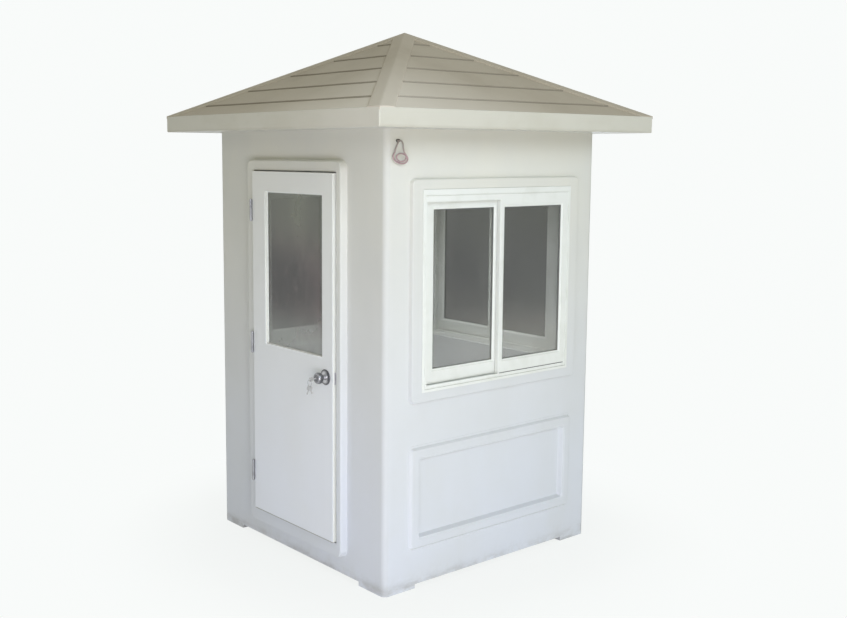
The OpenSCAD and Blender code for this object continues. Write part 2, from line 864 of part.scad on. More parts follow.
corner_feet();
floor_slab();
corner_posts();
front_wall_left();
front_wall_right();
front_wall_head();
front_wall_sill();
right_wall();
left_wall();
back_wall();
door_stops();
door_leaf();
door_glass();
hinge_fixed_leaves();
hinge_moving_leaves();
hinge_pins();
latch_faceplate();
strike_plate();
lock_roses();
outer_knob();
inner_knob();
lock_key();
key_ring();
spare_keys();
window_frame_right();
window_frame_left();
window_frame_back();
window_sashes_right();
window_sashes_left();
window_sashes_back();
window_glass_right();
window_glass_left();
window_glass_back();
soffit_panel();
roof_fascia();
roof_slope_front();
roof_slope_right();
roof_slope_back();
roof_slope_left();
hip_capping();
wire_loop();
wire_bush();
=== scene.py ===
# %% [markdown]
# # A moulded security guard booth
#
# The booth is a small cabin of moulded glass fibre: four white walls with raised mouldings, a
# half-glazed door, sliding windows on the other three sides and a hipped roof pressed to look
# like lapped boards. The construction model gives the size, place and motion of every part.
# These cells dress it: they build the soft moulded shapes in mesh code and mix every finish from
# nodes. All lengths are metres, the front is towards -Y and the ground is z = 0.

# %% Load the frame
import math

import bmesh
import bpy
from mathutils import Matrix, Vector
from mathutils.geometry import tessellate_polygon


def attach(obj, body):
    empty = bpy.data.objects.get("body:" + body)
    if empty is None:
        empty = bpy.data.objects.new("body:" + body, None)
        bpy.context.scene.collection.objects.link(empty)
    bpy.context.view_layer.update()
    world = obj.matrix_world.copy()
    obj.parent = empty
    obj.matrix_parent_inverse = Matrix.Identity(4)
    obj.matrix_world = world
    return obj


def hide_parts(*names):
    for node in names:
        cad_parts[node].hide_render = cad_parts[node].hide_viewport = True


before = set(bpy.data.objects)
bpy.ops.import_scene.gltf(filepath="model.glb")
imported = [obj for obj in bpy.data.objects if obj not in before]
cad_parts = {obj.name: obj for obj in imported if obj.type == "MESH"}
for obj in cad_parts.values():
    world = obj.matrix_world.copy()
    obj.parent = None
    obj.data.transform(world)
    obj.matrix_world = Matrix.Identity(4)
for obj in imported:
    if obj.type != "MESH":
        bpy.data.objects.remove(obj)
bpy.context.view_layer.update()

# %% [markdown]
# ## The camera
#
# A perspective match starts from straight edges whose real directions are known. Here the eaves,
# the walls' corners and the mouldings fix where the photographer stood: 2 m up, in front of the
# cabin's right corner. Blender's camera looks along its own -Z axis, so its matrix is written
# from three directions: right, up and backwards. The two shifts move the picture without turning
# the camera.

# %% Camera
EYE = Vector((4.28498, -3.66300, 1.99243))
TURN, TILT, ROLL = (math.radians(a) for a in (51.0356, -7.0952, 0.2034))
PICTURE_W = 847
FOCAL_PX = 1081.59
SENSOR_MM = 36

ahead = Vector((-math.sin(TURN) * math.cos(TILT), math.cos(TURN) * math.cos(TILT), math.sin(TILT)))
level = Vector((math.cos(TURN), math.sin(TURN), 0))
upward = level.cross(ahead)
across = level * math.cos(ROLL) + upward * math.sin(ROLL)
upward = upward * math.cos(ROLL) - level * math.sin(ROLL)

lens = bpy.data.cameras.new("photo_camera")
lens.sensor_width = SENSOR_MM
lens.lens = FOCAL_PX * SENSOR_MM / PICTURE_W
lens.shift_x, lens.shift_y = 0.0590, -0.02455
camera = bpy.data.objects.new("photo_camera", lens)
camera.matrix_world = Matrix.Translation(EYE) @ Matrix((across, upward, -ahead)).transposed().to_4x4()
bpy.context.collection.objects.link(camera)
bpy.context.scene.camera = camera
print("lens", round(lens.lens, 2), "mm")

# %% [markdown]
# ## Shader maths in Python
#
# A material is a graph of nodes. Drawing the graph by hand is slow to change, so three small
# classes write it. `Value` wraps one output socket: adding, subtracting, multiplying or dividing
# it puts in a Math node, so `1 - mask * 0.4` reads as it does on paper. `Graph` is any tree of
# nodes: its `add` method puts in any other node, with its settings first and its sockets after.
# `Finish` is the graph of one material.

# %% Value
class Value:
    """An output socket that takes part in Python expressions."""

    def __init__(self, graph, socket):
        self.graph, self.socket = graph, socket

    def maths(self, operation, first, second):
        return self.graph.add("ShaderNodeMath", {"operation": operation}, {0: first, 1: second})

    def __add__(self, other):
        return self.maths("ADD", self, other)

    def __sub__(self, other):
        return self.maths("SUBTRACT", self, other)

    def __rsub__(self, other):
        return self.maths("SUBTRACT", other, self)

    def __mul__(self, other):
        return self.maths("MULTIPLY", self, other)

    def __truediv__(self, other):
        return self.maths("DIVIDE", self, other)

    def __abs__(self):
        return self.graph.add("ShaderNodeMath", {"operation": "ABSOLUTE"}, {0: self})

    __radd__, __rmul__ = __add__, __mul__


print("Value does + - * / and abs")

# %% Graph and Finish
class Graph:
    """A tree of nodes, of a material or of the world."""

    def __init__(self, tree):
        self.links, self.nodes = tree.links, tree.nodes

    def put(self, node, sockets):
        for key, value in sockets.items():
            if isinstance(value, Value):
                self.links.new(value.socket, node.inputs[key])
            else:
                node.inputs[key].default_value = value

    def add(self, kind, settings=None, sockets=None, output=0):
        node = self.nodes.new(kind)
        for key, value in (settings or {}).items():
            if key == "stops":
                elements = node.color_ramp.elements
                for n, (at, colour) in enumerate(value):
                    stop = elements[n] if n < 2 else elements.new(at)
                    stop.position, stop.color = at, colour
            else:
                setattr(node, key, value)
        self.put(node, sockets or {})
        return Value(self, node.outputs[output])


class Finish(Graph):
    """A material: constants go on the shader's sockets, and what varies is driven by nodes."""

    def __init__(self, name, **constants):
        self.material = bpy.data.materials.new(name)
        self.material.use_nodes = True
        super().__init__(self.material.node_tree)
        self.shader = self.nodes["Principled BSDF"]
        self.drive(**constants)

    def drive(self, **sockets):
        self.put(self.shader, {key.replace("_", " "): value for key, value in sockets.items()})
        return self


print("Graph and Finish ready")

# %% [markdown]
# ## Small tools for every finish
#
# Moulded gel coat, paint and dust are all made of the same few ingredients: noise at a scale,
# stretched noise for streaks, a soft step that turns a number into a mask, patches that are both
# in one, colours laid one over the other, and a bump. Each takes its place from the object's own
# coordinates, so the pattern rides with a door that opens. Colours are written as a screen shows
# them, from 0 to 255, because that is how they are read off a photograph.

# %% Places and masks
def place(finish):
    """Position on the piece, in metres."""
    return finish.add("ShaderNodeTexCoord", output="Object")


def split(finish, vector, axis):
    """One axis of a vector: 0, 1 or 2."""
    return finish.add("ShaderNodeSeparateXYZ", {}, {0: vector}, output=axis)


def along(finish, axis):
    """Position on the piece along one axis."""
    return split(finish, place(finish), axis)


def facing(finish, axis=2):
    """How far the surface faces along an axis, from -1 to 1."""
    return split(finish, finish.add("ShaderNodeNewGeometry", output="Normal"), axis)


def noise(finish, scale, detail=3, stretch=(1, 1, 1), roughness=0.55, offset=(0, 0, 0)):
    """Soft noise from 0 to 1; stretch makes it finer along an axis."""
    where = finish.add("ShaderNodeMapping", {},
                       {"Vector": place(finish), "Scale": stretch, "Location": offset})
    return finish.add("ShaderNodeTexNoise", {}, {"Vector": where, "Scale": scale, "Detail": detail,
                                                 "Roughness": roughness})


def step(finish, value, low, high):
    """Mask that goes smoothly from 0 at low to 1 at high."""
    return finish.add("ShaderNodeMapRange", {"interpolation_type": "SMOOTHSTEP"},
                      {"Value": value, "From Min": low, "From Max": high})


def patches(finish, low, high, *scale_and_detail, **more):
    """Soft patches: noise cut at low and high into a mask."""
    return step(finish, noise(finish, *scale_and_detail, **more), low, high)


def vector_maths(finish, operation, first, second=(0, 0, 0), output=0):
    """A vector from two others, or a number if that is the output."""
    return finish.add("ShaderNodeVectorMath", {"operation": operation}, {0: first, 1: second}, output)


def length_of(finish, vector):
    return vector_maths(finish, "LENGTH", vector, output="Value")


def rays(graph, *kinds):
    """1 on rays of these kinds, and 0 on all others."""
    path = graph.nodes.new("ShaderNodeLightPath")
    found, *others = (Value(graph, path.outputs[kind]) for kind in kinds)
    for other in others:
        found = found.maths("MAXIMUM", found, other)
    return found


print("masks: noise, step, patches and rays")

# %% Colours and bump
def paint(red, green, blue):
    """A colour read as 0 to 255 on a screen, turned into the linear numbers that shaders use."""
    return (*(((c / 255 + 0.055) / 1.055) ** 2.4 if c > 10 else c / 3295 for c in (red, green, blue)), 1)


def mix(finish, mask, first, second):
    """Colour that goes from first to second as the mask goes from 0 to 1."""
    first, second = (c if isinstance(c, Value) else paint(*c) for c in (first, second))
    return finish.add("ShaderNodeMix", {"data_type": "RGBA"}, {0: mask, 6: first, 7: second}, output=2)


def coats(finish, colour, *layers):
    """Lays (mask, colour) pairs over a colour, one after the other."""
    for mask, over in layers:
        colour = mix(finish, mask, colour, over)
    return colour


def bump(finish, height, distance):
    return finish.add("ShaderNodeBump", {}, {"Height": height, "Distance": distance, "Strength": 1.0})


print("screen grey 128 is", round(paint(128, 128, 128)[0], 3), "in a shader")

# %% [markdown]
# ## The loop of wire
#
# A short length of wire comes out of a small bush at the top of the right wall, hangs in a loose
# double loop and goes back into the same bush. Free wire is made before anything else, because
# its real length and its tightest bend are checked. A curve with a round bevel is the right tool:
# its own line is the wire's centre, and the bevel gives the thickness. The route is in
# millimetres from the bush.

# %% Wire route
WIRE_HOLE = Vector((0.685, -0.624, 2.049))
WIRE_BEND = [(0, 0, 0), (5, 0, 0), (10, -2, -2), (14, -5, -7), (16, -10, -15), (17, -16, -25),
             (16, -21, -36), (16, -24, -48), (14, -29, -58), (13, -32, -69), (13, -27, -81),
             (13, -14, -91), (13, 3, -97), (14, 20, -99), (15, 36, -96), (16, 46, -86),
             (17, 46, -75), (19, 37, -66), (20, 24, -60), (21, 9, -56), (22, -6, -57),
             (23, -18, -63), (23, -22, -73), (23, -16, -83), (23, -4, -89), (24, 10, -90),
             (25, 22, -86), (26, 29, -76), (28, 28, -64), (28, 18, -52), (27, 15, -40),
             (25, 14, -28), (23, 15, -18), (19, 15, -10), (15, 14, -4), (10, 11, -1), (5, 10, 0),
             (0, 10, 0)]
WIRE_R = 0.0035
WIRE_STEPS = 5


def on_curve(points, n, t):
    """Point on a smooth curve that passes through the points, t of the way after point n."""
    a, b, c, d = (points[min(max(n + k, 0), len(points) - 1)] for k in (-1, 0, 1, 2))
    return 0.5 * (2 * b + (c - a) * t + (2 * a - 5 * b + 4 * c - d) * t ** 2
                  + (3 * b - a - 3 * c + d) * t ** 3)


knots = [WIRE_HOLE + Vector(p) / 1000 for p in WIRE_BEND]
route = [on_curve(knots, n, k / WIRE_STEPS)
         for n in range(len(knots) - 1) for k in range(WIRE_STEPS)]
route.append(knots[-1])
line = bpy.data.curves.new("wire", "CURVE")
line.dimensions = "3D"
line.bevel_depth, line.bevel_resolution, line.use_fill_caps = 1.0, 3, True
spline = line.splines.new("POLY")
spline.points.add(len(route) - 1)
for point, spot in zip(spline.points, route):
    point.co = (*spot, 1)
    point.radius = WIRE_R
wire = bpy.data.objects.new("wire", line)
bpy.context.collection.objects.link(wire)
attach(wire, "cabin")
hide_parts("wire_loop")
wire_length = sum((b - a).length for a, b in zip(route, route[1:]))
print("wire", round(wire_length, 3), "m in", len(route), "points")

# %% [markdown]
# ## Studio
#
# The photograph is cut out on white, in soft daylight that comes from low on the right, with a
# warm tint high up and a cool one near the ground. An even dim world fills every side. Large soft
# lamps give the slow change over the walls, weak ones near the ground stand for light that paving
# throws back, one behind the booth keeps its far sides readable, and one hangs in the room. Rays
# from the camera, reflections and rays through glass see a plain white world instead, which is
# how the background stays white without more light on the booth.

# %% World
WHITE = (0.945, 0.965, 0.955, 1)
DAYLIGHT = (0.335, 0.329, 0.250, 1)

world = bpy.data.worlds.new("studio")
world.use_nodes = True
world.node_tree.nodes.clear()
bpy.context.scene.world = world

sky = Graph(world.node_tree)
light = sky.add("ShaderNodeBackground", {}, {"Color": DAYLIGHT, "Strength": 1.0})
shown = sky.add("ShaderNodeBackground", {}, {"Color": WHITE, "Strength": 1.0})
seen = rays(sky, "Is Camera Ray", "Is Glossy Ray", "Is Transmission Ray")
sky.put(sky.nodes.new("ShaderNodeOutputWorld"),
        {"Surface": sky.add("ShaderNodeMixShader", {}, {0: seen, 1: light, 2: shown})})
print("world has", len(sky.nodes), "nodes")

# %% Lamps
def lamp(name, spot, target, size, power, colour, spread=180):
    """A square soft lamp at a spot, turned towards a target; spread narrows its cone."""
    data = bpy.data.lights.new(name, "AREA")
    data.size, data.energy, data.color, data.spread = size, power, colour, math.radians(spread)
    made = bpy.data.objects.new(name, data)
    made.location = spot
    made.rotation_euler = (Vector(target) - Vector(spot)).to_track_quat("-Z", "Y").to_euler()
    made.visible_camera = False
    bpy.context.collection.objects.link(made)


lamp("doorway_lamp", (4.756, -3.229, 0.6), (0.3, -0.3, 0.9), 2.4, 92, (1.0, 0.90, 0.72))
lamp("yard_lamp", (2.75, -2.75, 0.15), (0.4, -0.4, 0.6), 2.0, 53, (0.74, 0.76, 1.0))
lamp("path_lamp", (0.1, -3.8, 0.2), (0.0, -0.6, 0.4), 2.0, 10, (0.80, 0.84, 1.0))
lamp("lawn_lamp", (4.2, 1.3, 0.5), (0.7, 0.1, 0.8), 2.2, 15, (0.86, 0.94, 1.0))
lamp("front_ground", (0.1, -2.0, 0.05), (0.0, -0.7, 0.3), 1.6, 1.9, (0.88, 0.90, 1.0))
lamp("right_ground", (2.0, 0.1, 0.05), (0.7, 0.0, 0.3), 1.6, 1.7, (0.84, 0.90, 1.0))
lamp("sky_lamp", (5.70, -1.60, 4.5), (0.2, -0.2, 1.6), 3.0, 165, (0.75, 0.86, 1.0))
lamp("rear_lamp", (-4.1, 4.1, 1.7), (-0.4, 0.4, 1.3), 3.0, 132, (0.80, 0.88, 1.0))
lamp("room_lamp", (0.0, 0.0, 2.0), (0.0, 0.0, 0.0), 0.8, 19, (0.96, 1.0, 0.99), 115)

print(len(bpy.data.lights), "lamps")

# %% Floor
FLOOR_HALF = 40.0
SHADOW_IN, SHADOW_OUT, SHADOW_SHARE = 0.8, 1.7, 0.12
floor_mesh = bpy.data.meshes.new("studio_floor")
floor_mesh.from_pydata([(x * FLOOR_HALF, y * FLOOR_HALF, 0) for x, y in ((-1, -1), (1, -1), (1, 1), (-1, 1))],
                       [], [(0, 1, 2, 3)])
studio_floor = bpy.data.objects.new("studio_floor", floor_mesh)
bpy.context.collection.objects.link(studio_floor)

pale = Finish("pale_floor", Roughness=0.9, Base_Color=(0.74, 0.75, 0.75, 1))
near = 1 - step(pale, length_of(pale, place(pale)), SHADOW_IN, SHADOW_OUT)
looked_at = rays(pale, "Is Camera Ray", "Is Glossy Ray")
glow = pale.add("ShaderNodeEmission", {}, {"Color": WHITE, "Strength": 1.0})
shaded = Value(pale, pale.shader.outputs[0])
blend = pale.add("ShaderNodeMixShader", {}, {0: looked_at * (1 - near * SHADOW_SHARE), 1: shaded, 2: glow})
pale.put(pale.nodes["Material Output"], {"Surface": blend})
studio_floor.data.materials.append(pale.material)
print("studio ready")

# %% [markdown]
# ## Moulded walls: how the mesh is made
#
# A wall of this booth comes out of a polished mould as one skin, so every moulding on it has soft
# edges and runs on into the flat. A box with a bevel modifier would round all edges alike. Here
# each moulding is a stack of rounded rectangles, one inside the other, joined by quads: the
# spacing of the stack is the profile that the mould maker would have cut. The flat between the
# mouldings is one face with holes in it, and face-weighted normals keep it looking flat.

# %% Frames of the walls, and arcs
HALF = 0.685
CARRY = {"front": lambda x, y, z: (x, y - HALF, z), "right": lambda x, y, z: (HALF - y, x, z),
         "back": lambda x, y, z: (-x, HALF - y, z), "left": lambda x, y, z: (y - HALF, -x, z),
         "cabin": lambda x, y, z: (x, y, z)}
SHARP = math.radians(32)
WELD = 2e-5


def angles(turns, start=0, end=360):
    """Angles in radians, from start to end in degrees, both included."""
    return [math.radians(start + (end - start) * k / turns) for k in range(turns + 1)]


def arc(x, y, radius, turns, start=0, end=360):
    """Points (x, y) on an arc round a centre, both ends included."""
    return [(x + radius * math.cos(a), y + radius * math.sin(a)) for a in angles(turns, start, end)]


print("a quarter turn in 6 steps has", len(arc(0, 0, 1, 6, 0, 90)), "points")

# %% Shape: points, rings and flats
class Shape:
    """Points and faces of one piece, written in the frame of one wall: y = 0 is the wall's face."""

    def __init__(self, side="cabin"):
        self.carry, self.points, self.faces = CARRY[side], [], []

    def rows(self, rows, round_row=True, round_all=False):
        """Joins rows of points by quads; round_row closes each row, round_all joins last to first."""
        start, wide, tall = len(self.points), len(rows[0]), len(rows)
        self.points += [self.carry(*p) for row in rows for p in row]
        for r in range(tall if round_all else tall - 1):
            for k in range(wide if round_row else wide - 1):
                a, b = start + r * wide, start + (r + 1) % tall * wide
                self.faces.append((a + k, a + (k + 1) % wide, b + (k + 1) % wide, b + k))
        return self

    def flat(self, *loops):
        """A flat face: its outline, then its holes."""
        start = len(self.points)
        self.points += [self.carry(*p) for loop in loops for p in loop]
        for corners in tessellate_polygon([[Vector(p) for p in loop] for loop in loops]):
            self.faces.append(tuple(start + n for n in corners))
        return self

    def block(self, low, high):
        (x0, y0, z0), (x1, y1, z1) = low, high
        low_row = [(x0, y0, z0), (x1, y0, z0), (x1, y1, z0), (x0, y1, z0)]
        high_row = [(x, y, z1) for x, y, _ in low_row]
        return self.rows([low_row, high_row]).flat(low_row).flat(high_row)

    def piece(self, name, body, finish, slot, *nodes):
        """Makes the mesh, welds and shades it, and tells the frame its body and nodes; slot is not used."""
        mesh = bpy.data.meshes.new(name)
        mesh.from_pydata(self.points, [], self.faces)
        work = bmesh.new()
        work.from_mesh(mesh)
        bmesh.ops.remove_doubles(work, verts=work.verts, dist=WELD)
        bmesh.ops.dissolve_degenerate(work, edges=work.edges, dist=WELD / 4)
        bmesh.ops.recalc_face_normals(work, faces=work.faces)
        work.to_mesh(mesh)
        work.free()
        mesh.shade_smooth()
        mesh.set_sharp_from_angle(angle=SHARP)
        mesh.materials.append(finish.material)
        made = bpy.data.objects.new(name, mesh)
        bpy.context.collection.objects.link(made)
        made.modifiers.new("even_shading", "WEIGHTED_NORMAL").keep_sharp = True
        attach(made, body)
        if nodes:
            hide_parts(*nodes)
        return made


print("a block has", len(Shape().block((0, 0, 0), (1, 1, 1)).points), "points before its weld")

# %% Rounded rectangles and soft steps
def rounded(rect, radius, y, turns=6):
    """A rounded rectangle in an upright plane; rect is (x0, x1, z0, z1)."""
    x0, x1, z0, z1 = rect
    centres = ((x1 - radius, z0 + radius), (x1 - radius, z1 - radius),
               (x0 + radius, z1 - radius), (x0 + radius, z0 + radius))
    return [(x, y, z) for n, centre in enumerate(centres)
            for x, z in arc(*centre, radius, turns, 90 * (n - 1), 90 * n)]


def margins(rect, left, right, low, top):
    """The rectangle drawn in by a margin of its own on each side."""
    x0, x1, z0, z1 = rect
    return x0 + left, x1 - right, z0 + low, z1 - top


def inset(rect, margin):
    return margins(rect, margin, margin, margin, margin)


def slope(height, foot, edge, steep):
    """A soft step as (inset, height) pairs: hollow at its foot, straight, then rounded over."""
    lean = math.radians(steep)
    turns = [lean * k / 5 for k in range(6)]
    low = [(foot * math.sin(a), foot * (1 - math.cos(a))) for a in turns]
    rise = height - (foot + edge) * (1 - math.cos(lean))
    far = low[-1][0] + rise / math.tan(lean) + edge * math.sin(lean)
    high = [(far - edge * math.sin(a), height - edge * (1 - math.cos(a))) for a in reversed(turns)]
    return low + high


print("soft step of a 22 mm moulding is", round(slope(0.022, 0.003, 0.012, 75)[-1][0] * 1000, 1), "mm wide")

# %% [markdown]
# ## The gel coat
#
# The walls' skin is white gel coat: a glossy resin with a slight ripple that it takes from the
# mould, so reflections wander. In years of use it greys a little in long soft streaks, splashes
# dull its lowest hand's width and dirt clings to the feet. Light and shade are painted on it too:
# a tone that is cool low down and warm high up, painted shade with dust on low ledges, painted
# light on high ones, lighter undersides, greyer rounded corners and a band of painted shade under
# the eaves. Each of those is a mask with a colour, laid one over the other, and the ripple and the
# fine orange peel go to bump.

# %% Gel coat
# |x| + |y| over which the rounded corners are painted a little greyer: painted shade on their highlight
CORNER_SHADE_SPAN = 2 * HALF - 0.030, 2 * HALF - 0.018


def white_skin(name, high, low, greyed, clean, gloss, ripple, edge=None):
    """Glossy white skin: painted light in its tone high up and low down and on its undersides, and its
    streaks.

    edge is the depth, front to back, of a band painted a shade darker, for the rim and reveals of the door's
    leaf: painted shade, darker still where it faces up.
    """
    skin = Finish(name, IOR=1.42)
    height, up = along(skin, 2), facing(skin)
    streak = patches(skin, 0.42, 0.72, 1.6, 4, (1, 1, 0.22))
    cloud = patches(skin, 0.35, 0.75, 3.2, 3, offset=(3, 1, 7))
    ledge = step(skin, up, 0.35, 0.9) * (0.5 + noise(skin, 30, 4) * 0.5)
    lightened_high = step(skin, height, 1.0, 1.7)
    corner = abs(along(skin, 0)) + abs(along(skin, 1))
    splash = (1 - step(skin, height, 0.0, 0.11)) * patches(skin, 0.42, 0.7, 16, 6, roughness=0.7)
    foot = (1 - step(skin, height, 0.012, 0.065)) * patches(skin, 0.38, 0.62, 7, 5, (1, 1, 3))
    colour = coats(
        # Painted light: the tone goes from cool low down, as if lit from the ground, to warm high up.
        skin, mix(skin, step(skin, height, 0.1, 2.1), low, high),
        (streak * 0.35 + cloud * 0.2, greyed),
        # Up-facing ledges lower down: dust and painted shade.
        (ledge * (1 - lightened_high) * 0.16, (150, 149, 140)),
        # Up-facing ledges higher up are painted lighter: painted light.
        (ledge * lightened_high * 0.5, (236, 236, 230)),
        # Faces that look down are painted lighter, as if lit from the ground: painted light.
        (step(skin, up * -1, 0.25, 0.8), clean),
        # Painted shade: the rounded corners a little greyer.
        (step(skin, corner, *CORNER_SHADE_SPAN) * 0.25, (184, 186, 186)),
        (splash * 0.30, (172, 170, 164)),
        (foot * 0.50, (150, 148, 146)),
        # Painted shade: a greyer band just under the eaves.
        (step(skin, height, 1.97, 2.07) * 0.25, (178, 177, 168)))
    # Painted shade: the leaf's rim and the reveals of its glass are darker, and darker still where they face
    # up.
    if edge:
        start, end = edge
        depth = along(skin, 1)
        rim = step(skin, depth, start, start + 0.002) * (1 - step(skin, depth, end - 0.002, end))
        colour = coats(skin, colour, (rim, (220, 221, 216)),
                       (rim * step(skin, up, 0.4, 0.9), (156, 152, 152)))
    waves = noise(skin, 2.4, 2) + noise(skin, 340, 1) * 0.012
    return skin.drive(Base_Color=colour, Roughness=gloss + streak * 0.08 + ledge * 0.2 + splash * 0.2,
                      Normal=bump(skin, waves, ripple))


# Its tones high and low and the colour of its undersides are painted light.
gel_coat = white_skin("white_gel_coat", (217, 216, 207), (210, 214, 223), (202, 204, 203),
                      (222, 225, 229), 0.55, 0.004)
print("gel coat has", len(gel_coat.nodes), "nodes")

# %% [markdown]
# ## Walls with a window and a moulded panel
#
# Three of the walls are alike: a raised surround with a window opening in it, and below it a
# panel with a raised rim and a sunken field. The mould gives the rim a soft slope on both sides
# with a faint low step before it, which catches the light as a second, weaker line. Between the
# corner feet the skin is cut away by 20 mm. Each soft edge is named by three numbers: the radius
# of the hollow at its foot, the radius at its top, and how steep it is between them.

# %% Sizes of the walls
WALL = 0.050
CORNER_R = 0.028
EAVES_Z = 2.100
FOOT_Z, FOOT_L = 0.020, 0.185
SURROUND = (-0.553, 0.553, 0.871, 1.887)
SURROUND_PROUD = 0.022
WINDOW = (-0.488, 0.488, 0.921, 1.837)
PANEL = (-0.553, 0.553, 0.179, 0.677)
PANEL_PROUD, PANEL_SUNK = 0.015, 0.012
RIM = 0.078
MOULD_R, FIELD_R, DOOR_MOULD_R = 0.030, 0.016, 0.045
CUT_R, DOOR_CUT_R = 0.0005, 0.002
SURROUND_EDGE, PANEL_EDGE, FIELD_EDGE = (0.003, 0.006, 80), (0.004, 0.006, 52), (0.004, 0.006, 70)
DOOR_EDGE = (0.003, 0.007, 82)
FAINT_RISE, FAINT_LEDGE = 0.0016, 0.005
DOORWAY = (-0.305, 0.377, 0.175, 1.911)
DOOR_SURROUND = (-0.375, 0.415, 0.100, 1.966)
DOOR_PROUD = 0.036

FLAT_END = HALF - CORNER_R
INNER_END = HALF - WALL
FOOT_END = HALF - FOOT_L
print("a wall's flat is", round(2 * FLAT_END, 3), "m wide")

# %% Mouldings and skins
def wall_outline(end, y):
    """Edge of a wall's skin, with the low cut between its feet."""
    return [(-end, y, 0), (-FOOT_END, y, 0), (-FOOT_END, y, FOOT_Z), (FOOT_END, y, FOOT_Z),
            (FOOT_END, y, 0), (end, y, 0), (end, y, EAVES_Z), (-end, y, EAVES_Z)]


def raise_moulding(shape, rect, radius, profile):
    """Rings of a moulding from its foot inwards; returns the last ring's rectangle and radius."""
    shape.rows([rounded(inset(rect, d), max(radius - d, 0.003), -h) for d, h in profile])
    return inset(rect, profile[-1][0]), max(radius - profile[-1][0], 0.003)


def faint_step(height, edge):
    """A slope that has a low soft step and a narrow ledge before it."""
    low = slope(FAINT_RISE, 0.0010, 0.0015, 40)
    main = slope(height - FAINT_RISE, *edge)
    return low + [(low[-1][0] + FAINT_LEDGE + d, FAINT_RISE + h) for d, h in main]


def close_wall(shape, holes_out, holes_in):
    """The skin's flat outside and inside faces, and the edges between them."""
    outside, inside = wall_outline(FLAT_END, 0), wall_outline(INNER_END, WALL)
    shape.flat(outside, *holes_out).flat(inside, *holes_in).rows([outside, inside])


def surround(shape, outline, radius, proud, edge, opening, cut_r):
    """A raised surround, its face, and the opening cut through it and the wall."""
    face, face_r = raise_moulding(shape, outline, radius, slope(proud, *edge))
    shape.rows([rounded(face, face_r, -proud), rounded(opening, cut_r, -proud),
                rounded(opening, cut_r, WALL)])


print("panel slope", round(faint_step(PANEL_PROUD, PANEL_EDGE)[-1][0] * 1000, 1), "mm wide")

# %% Window walls
def window_wall(side, name, node):
    shape = Shape(side)
    surround(shape, SURROUND, MOULD_R, SURROUND_PROUD, SURROUND_EDGE, WINDOW, CUT_R)
    rim, rim_r = raise_moulding(shape, PANEL, MOULD_R, faint_step(PANEL_PROUD, PANEL_EDGE))
    down = faint_step(PANEL_PROUD + PANEL_SUNK, FIELD_EDGE)
    inner = inset(PANEL, RIM - down[-1][0])
    rings = [rounded(inset(inner, d), max(FIELD_R - d * 0.4, 0.004), h - PANEL_PROUD) for d, h in down]
    shape.rows([rounded(rim, rim_r, -PANEL_PROUD), *rings]).flat(rings[-1])
    close_wall(shape, [rounded(SURROUND, MOULD_R, 0), rounded(PANEL, MOULD_R, 0)],
               [rounded(WINDOW, CUT_R, WALL)])
    return shape.piece(name, "cabin", gel_coat, "shell", node)


for side in ("right", "back", "left"):
    made = window_wall(side, f"moulded_{side}_wall", f"{side}_wall")
    print(made.name, len(made.data.polygons), "faces")

# %% [markdown]
# ## The door wall and the corners
#
# The door wall has a much deeper surround, 36 mm, because the door closes into it. The construction
# model splits this wall in four beside the doorway; the real skin has no such joints, so one piece
# stands for all four. The rounded corners are columns of their own, which meet the flats exactly
# where their curve begins.

# %% Door wall and corner columns
front = Shape("front")
surround(front, DOOR_SURROUND, DOOR_MOULD_R, DOOR_PROUD, DOOR_EDGE, DOORWAY, DOOR_CUT_R)
close_wall(front, [rounded(DOOR_SURROUND, DOOR_MOULD_R, 0)], [rounded(DOORWAY, DOOR_CUT_R, WALL)])
front.piece("moulded_front_wall", "cabin", gel_coat, "shell",
            "front_wall_left", "front_wall_right", "front_wall_head", "front_wall_sill")

columns = Shape()
for sx, sy in ((1, -1), (1, 1), (-1, 1), (-1, -1)):
    bend = [(sx * x, sy * y) for x, y in arc(FLAT_END, FLAT_END, CORNER_R, 16, 0, 90)]
    low_row = [(x, y, 0) for x, y in (*bend, (sx * INNER_END, sy * INNER_END))]
    high_row = [(x, y, EAVES_Z) for x, y, _ in low_row]
    columns.rows([low_row, high_row]).flat(low_row).flat(high_row)
columns.piece("corner_columns", "cabin", gel_coat, "shell", "corner_posts", "corner_feet")
print("walls done")

# %% [markdown]
# ## Windows
#
# Each window is a white powder-coated frame with two sashes that slide past each other. Extrusions
# are cut at 45 degrees and joined at the corners, so a frame is a stack of plain rectangles that
# share their corners: the stack goes round the extrusion's section, out over the face, in through
# both tracks and back. The sash on the right runs in the outer track. Grey seals hold the panes.

# %% Window finishes
def powder_coat(name, clean, worn):
    coat = Finish(name, IOR=1.5)
    dirt = patches(coat, 0.45, 0.75, 9, 5)
    ledge = step(coat, facing(coat), 0.4, 0.9) * (0.5 + noise(coat, 45, 4) * 0.7)
    colour = coats(coat, clean, (dirt * 0.5, worn), (ledge * 0.6, (150, 148, 138)))
    return coat.drive(Base_Color=colour, Roughness=0.44 + dirt * 0.12 + ledge * 0.2,
                      Normal=bump(coat, noise(coat, 900, 2), 0.00012))


def rubber(name, colour, dust, top_darkening=0.0):
    """Seal rubber; top_darkening is how much darker it is where it faces the sky: dust and painted shade."""
    seal = Finish(name, IOR=1.5)
    grey = patches(seal, 0.4, 0.75, 60, 4)
    tone = mix(seal, grey * 0.5, colour, dust)
    if top_darkening:
        # Darker where it faces up: dust and painted shade.
        tone = mix(seal, step(seal, facing(seal), 0.2, 0.7) * top_darkening, tone, (120, 119, 115))
    return seal.drive(Base_Color=tone, Roughness=0.62 + grey * 0.2,
                      Normal=bump(seal, noise(seal, 700, 2), 0.0001))


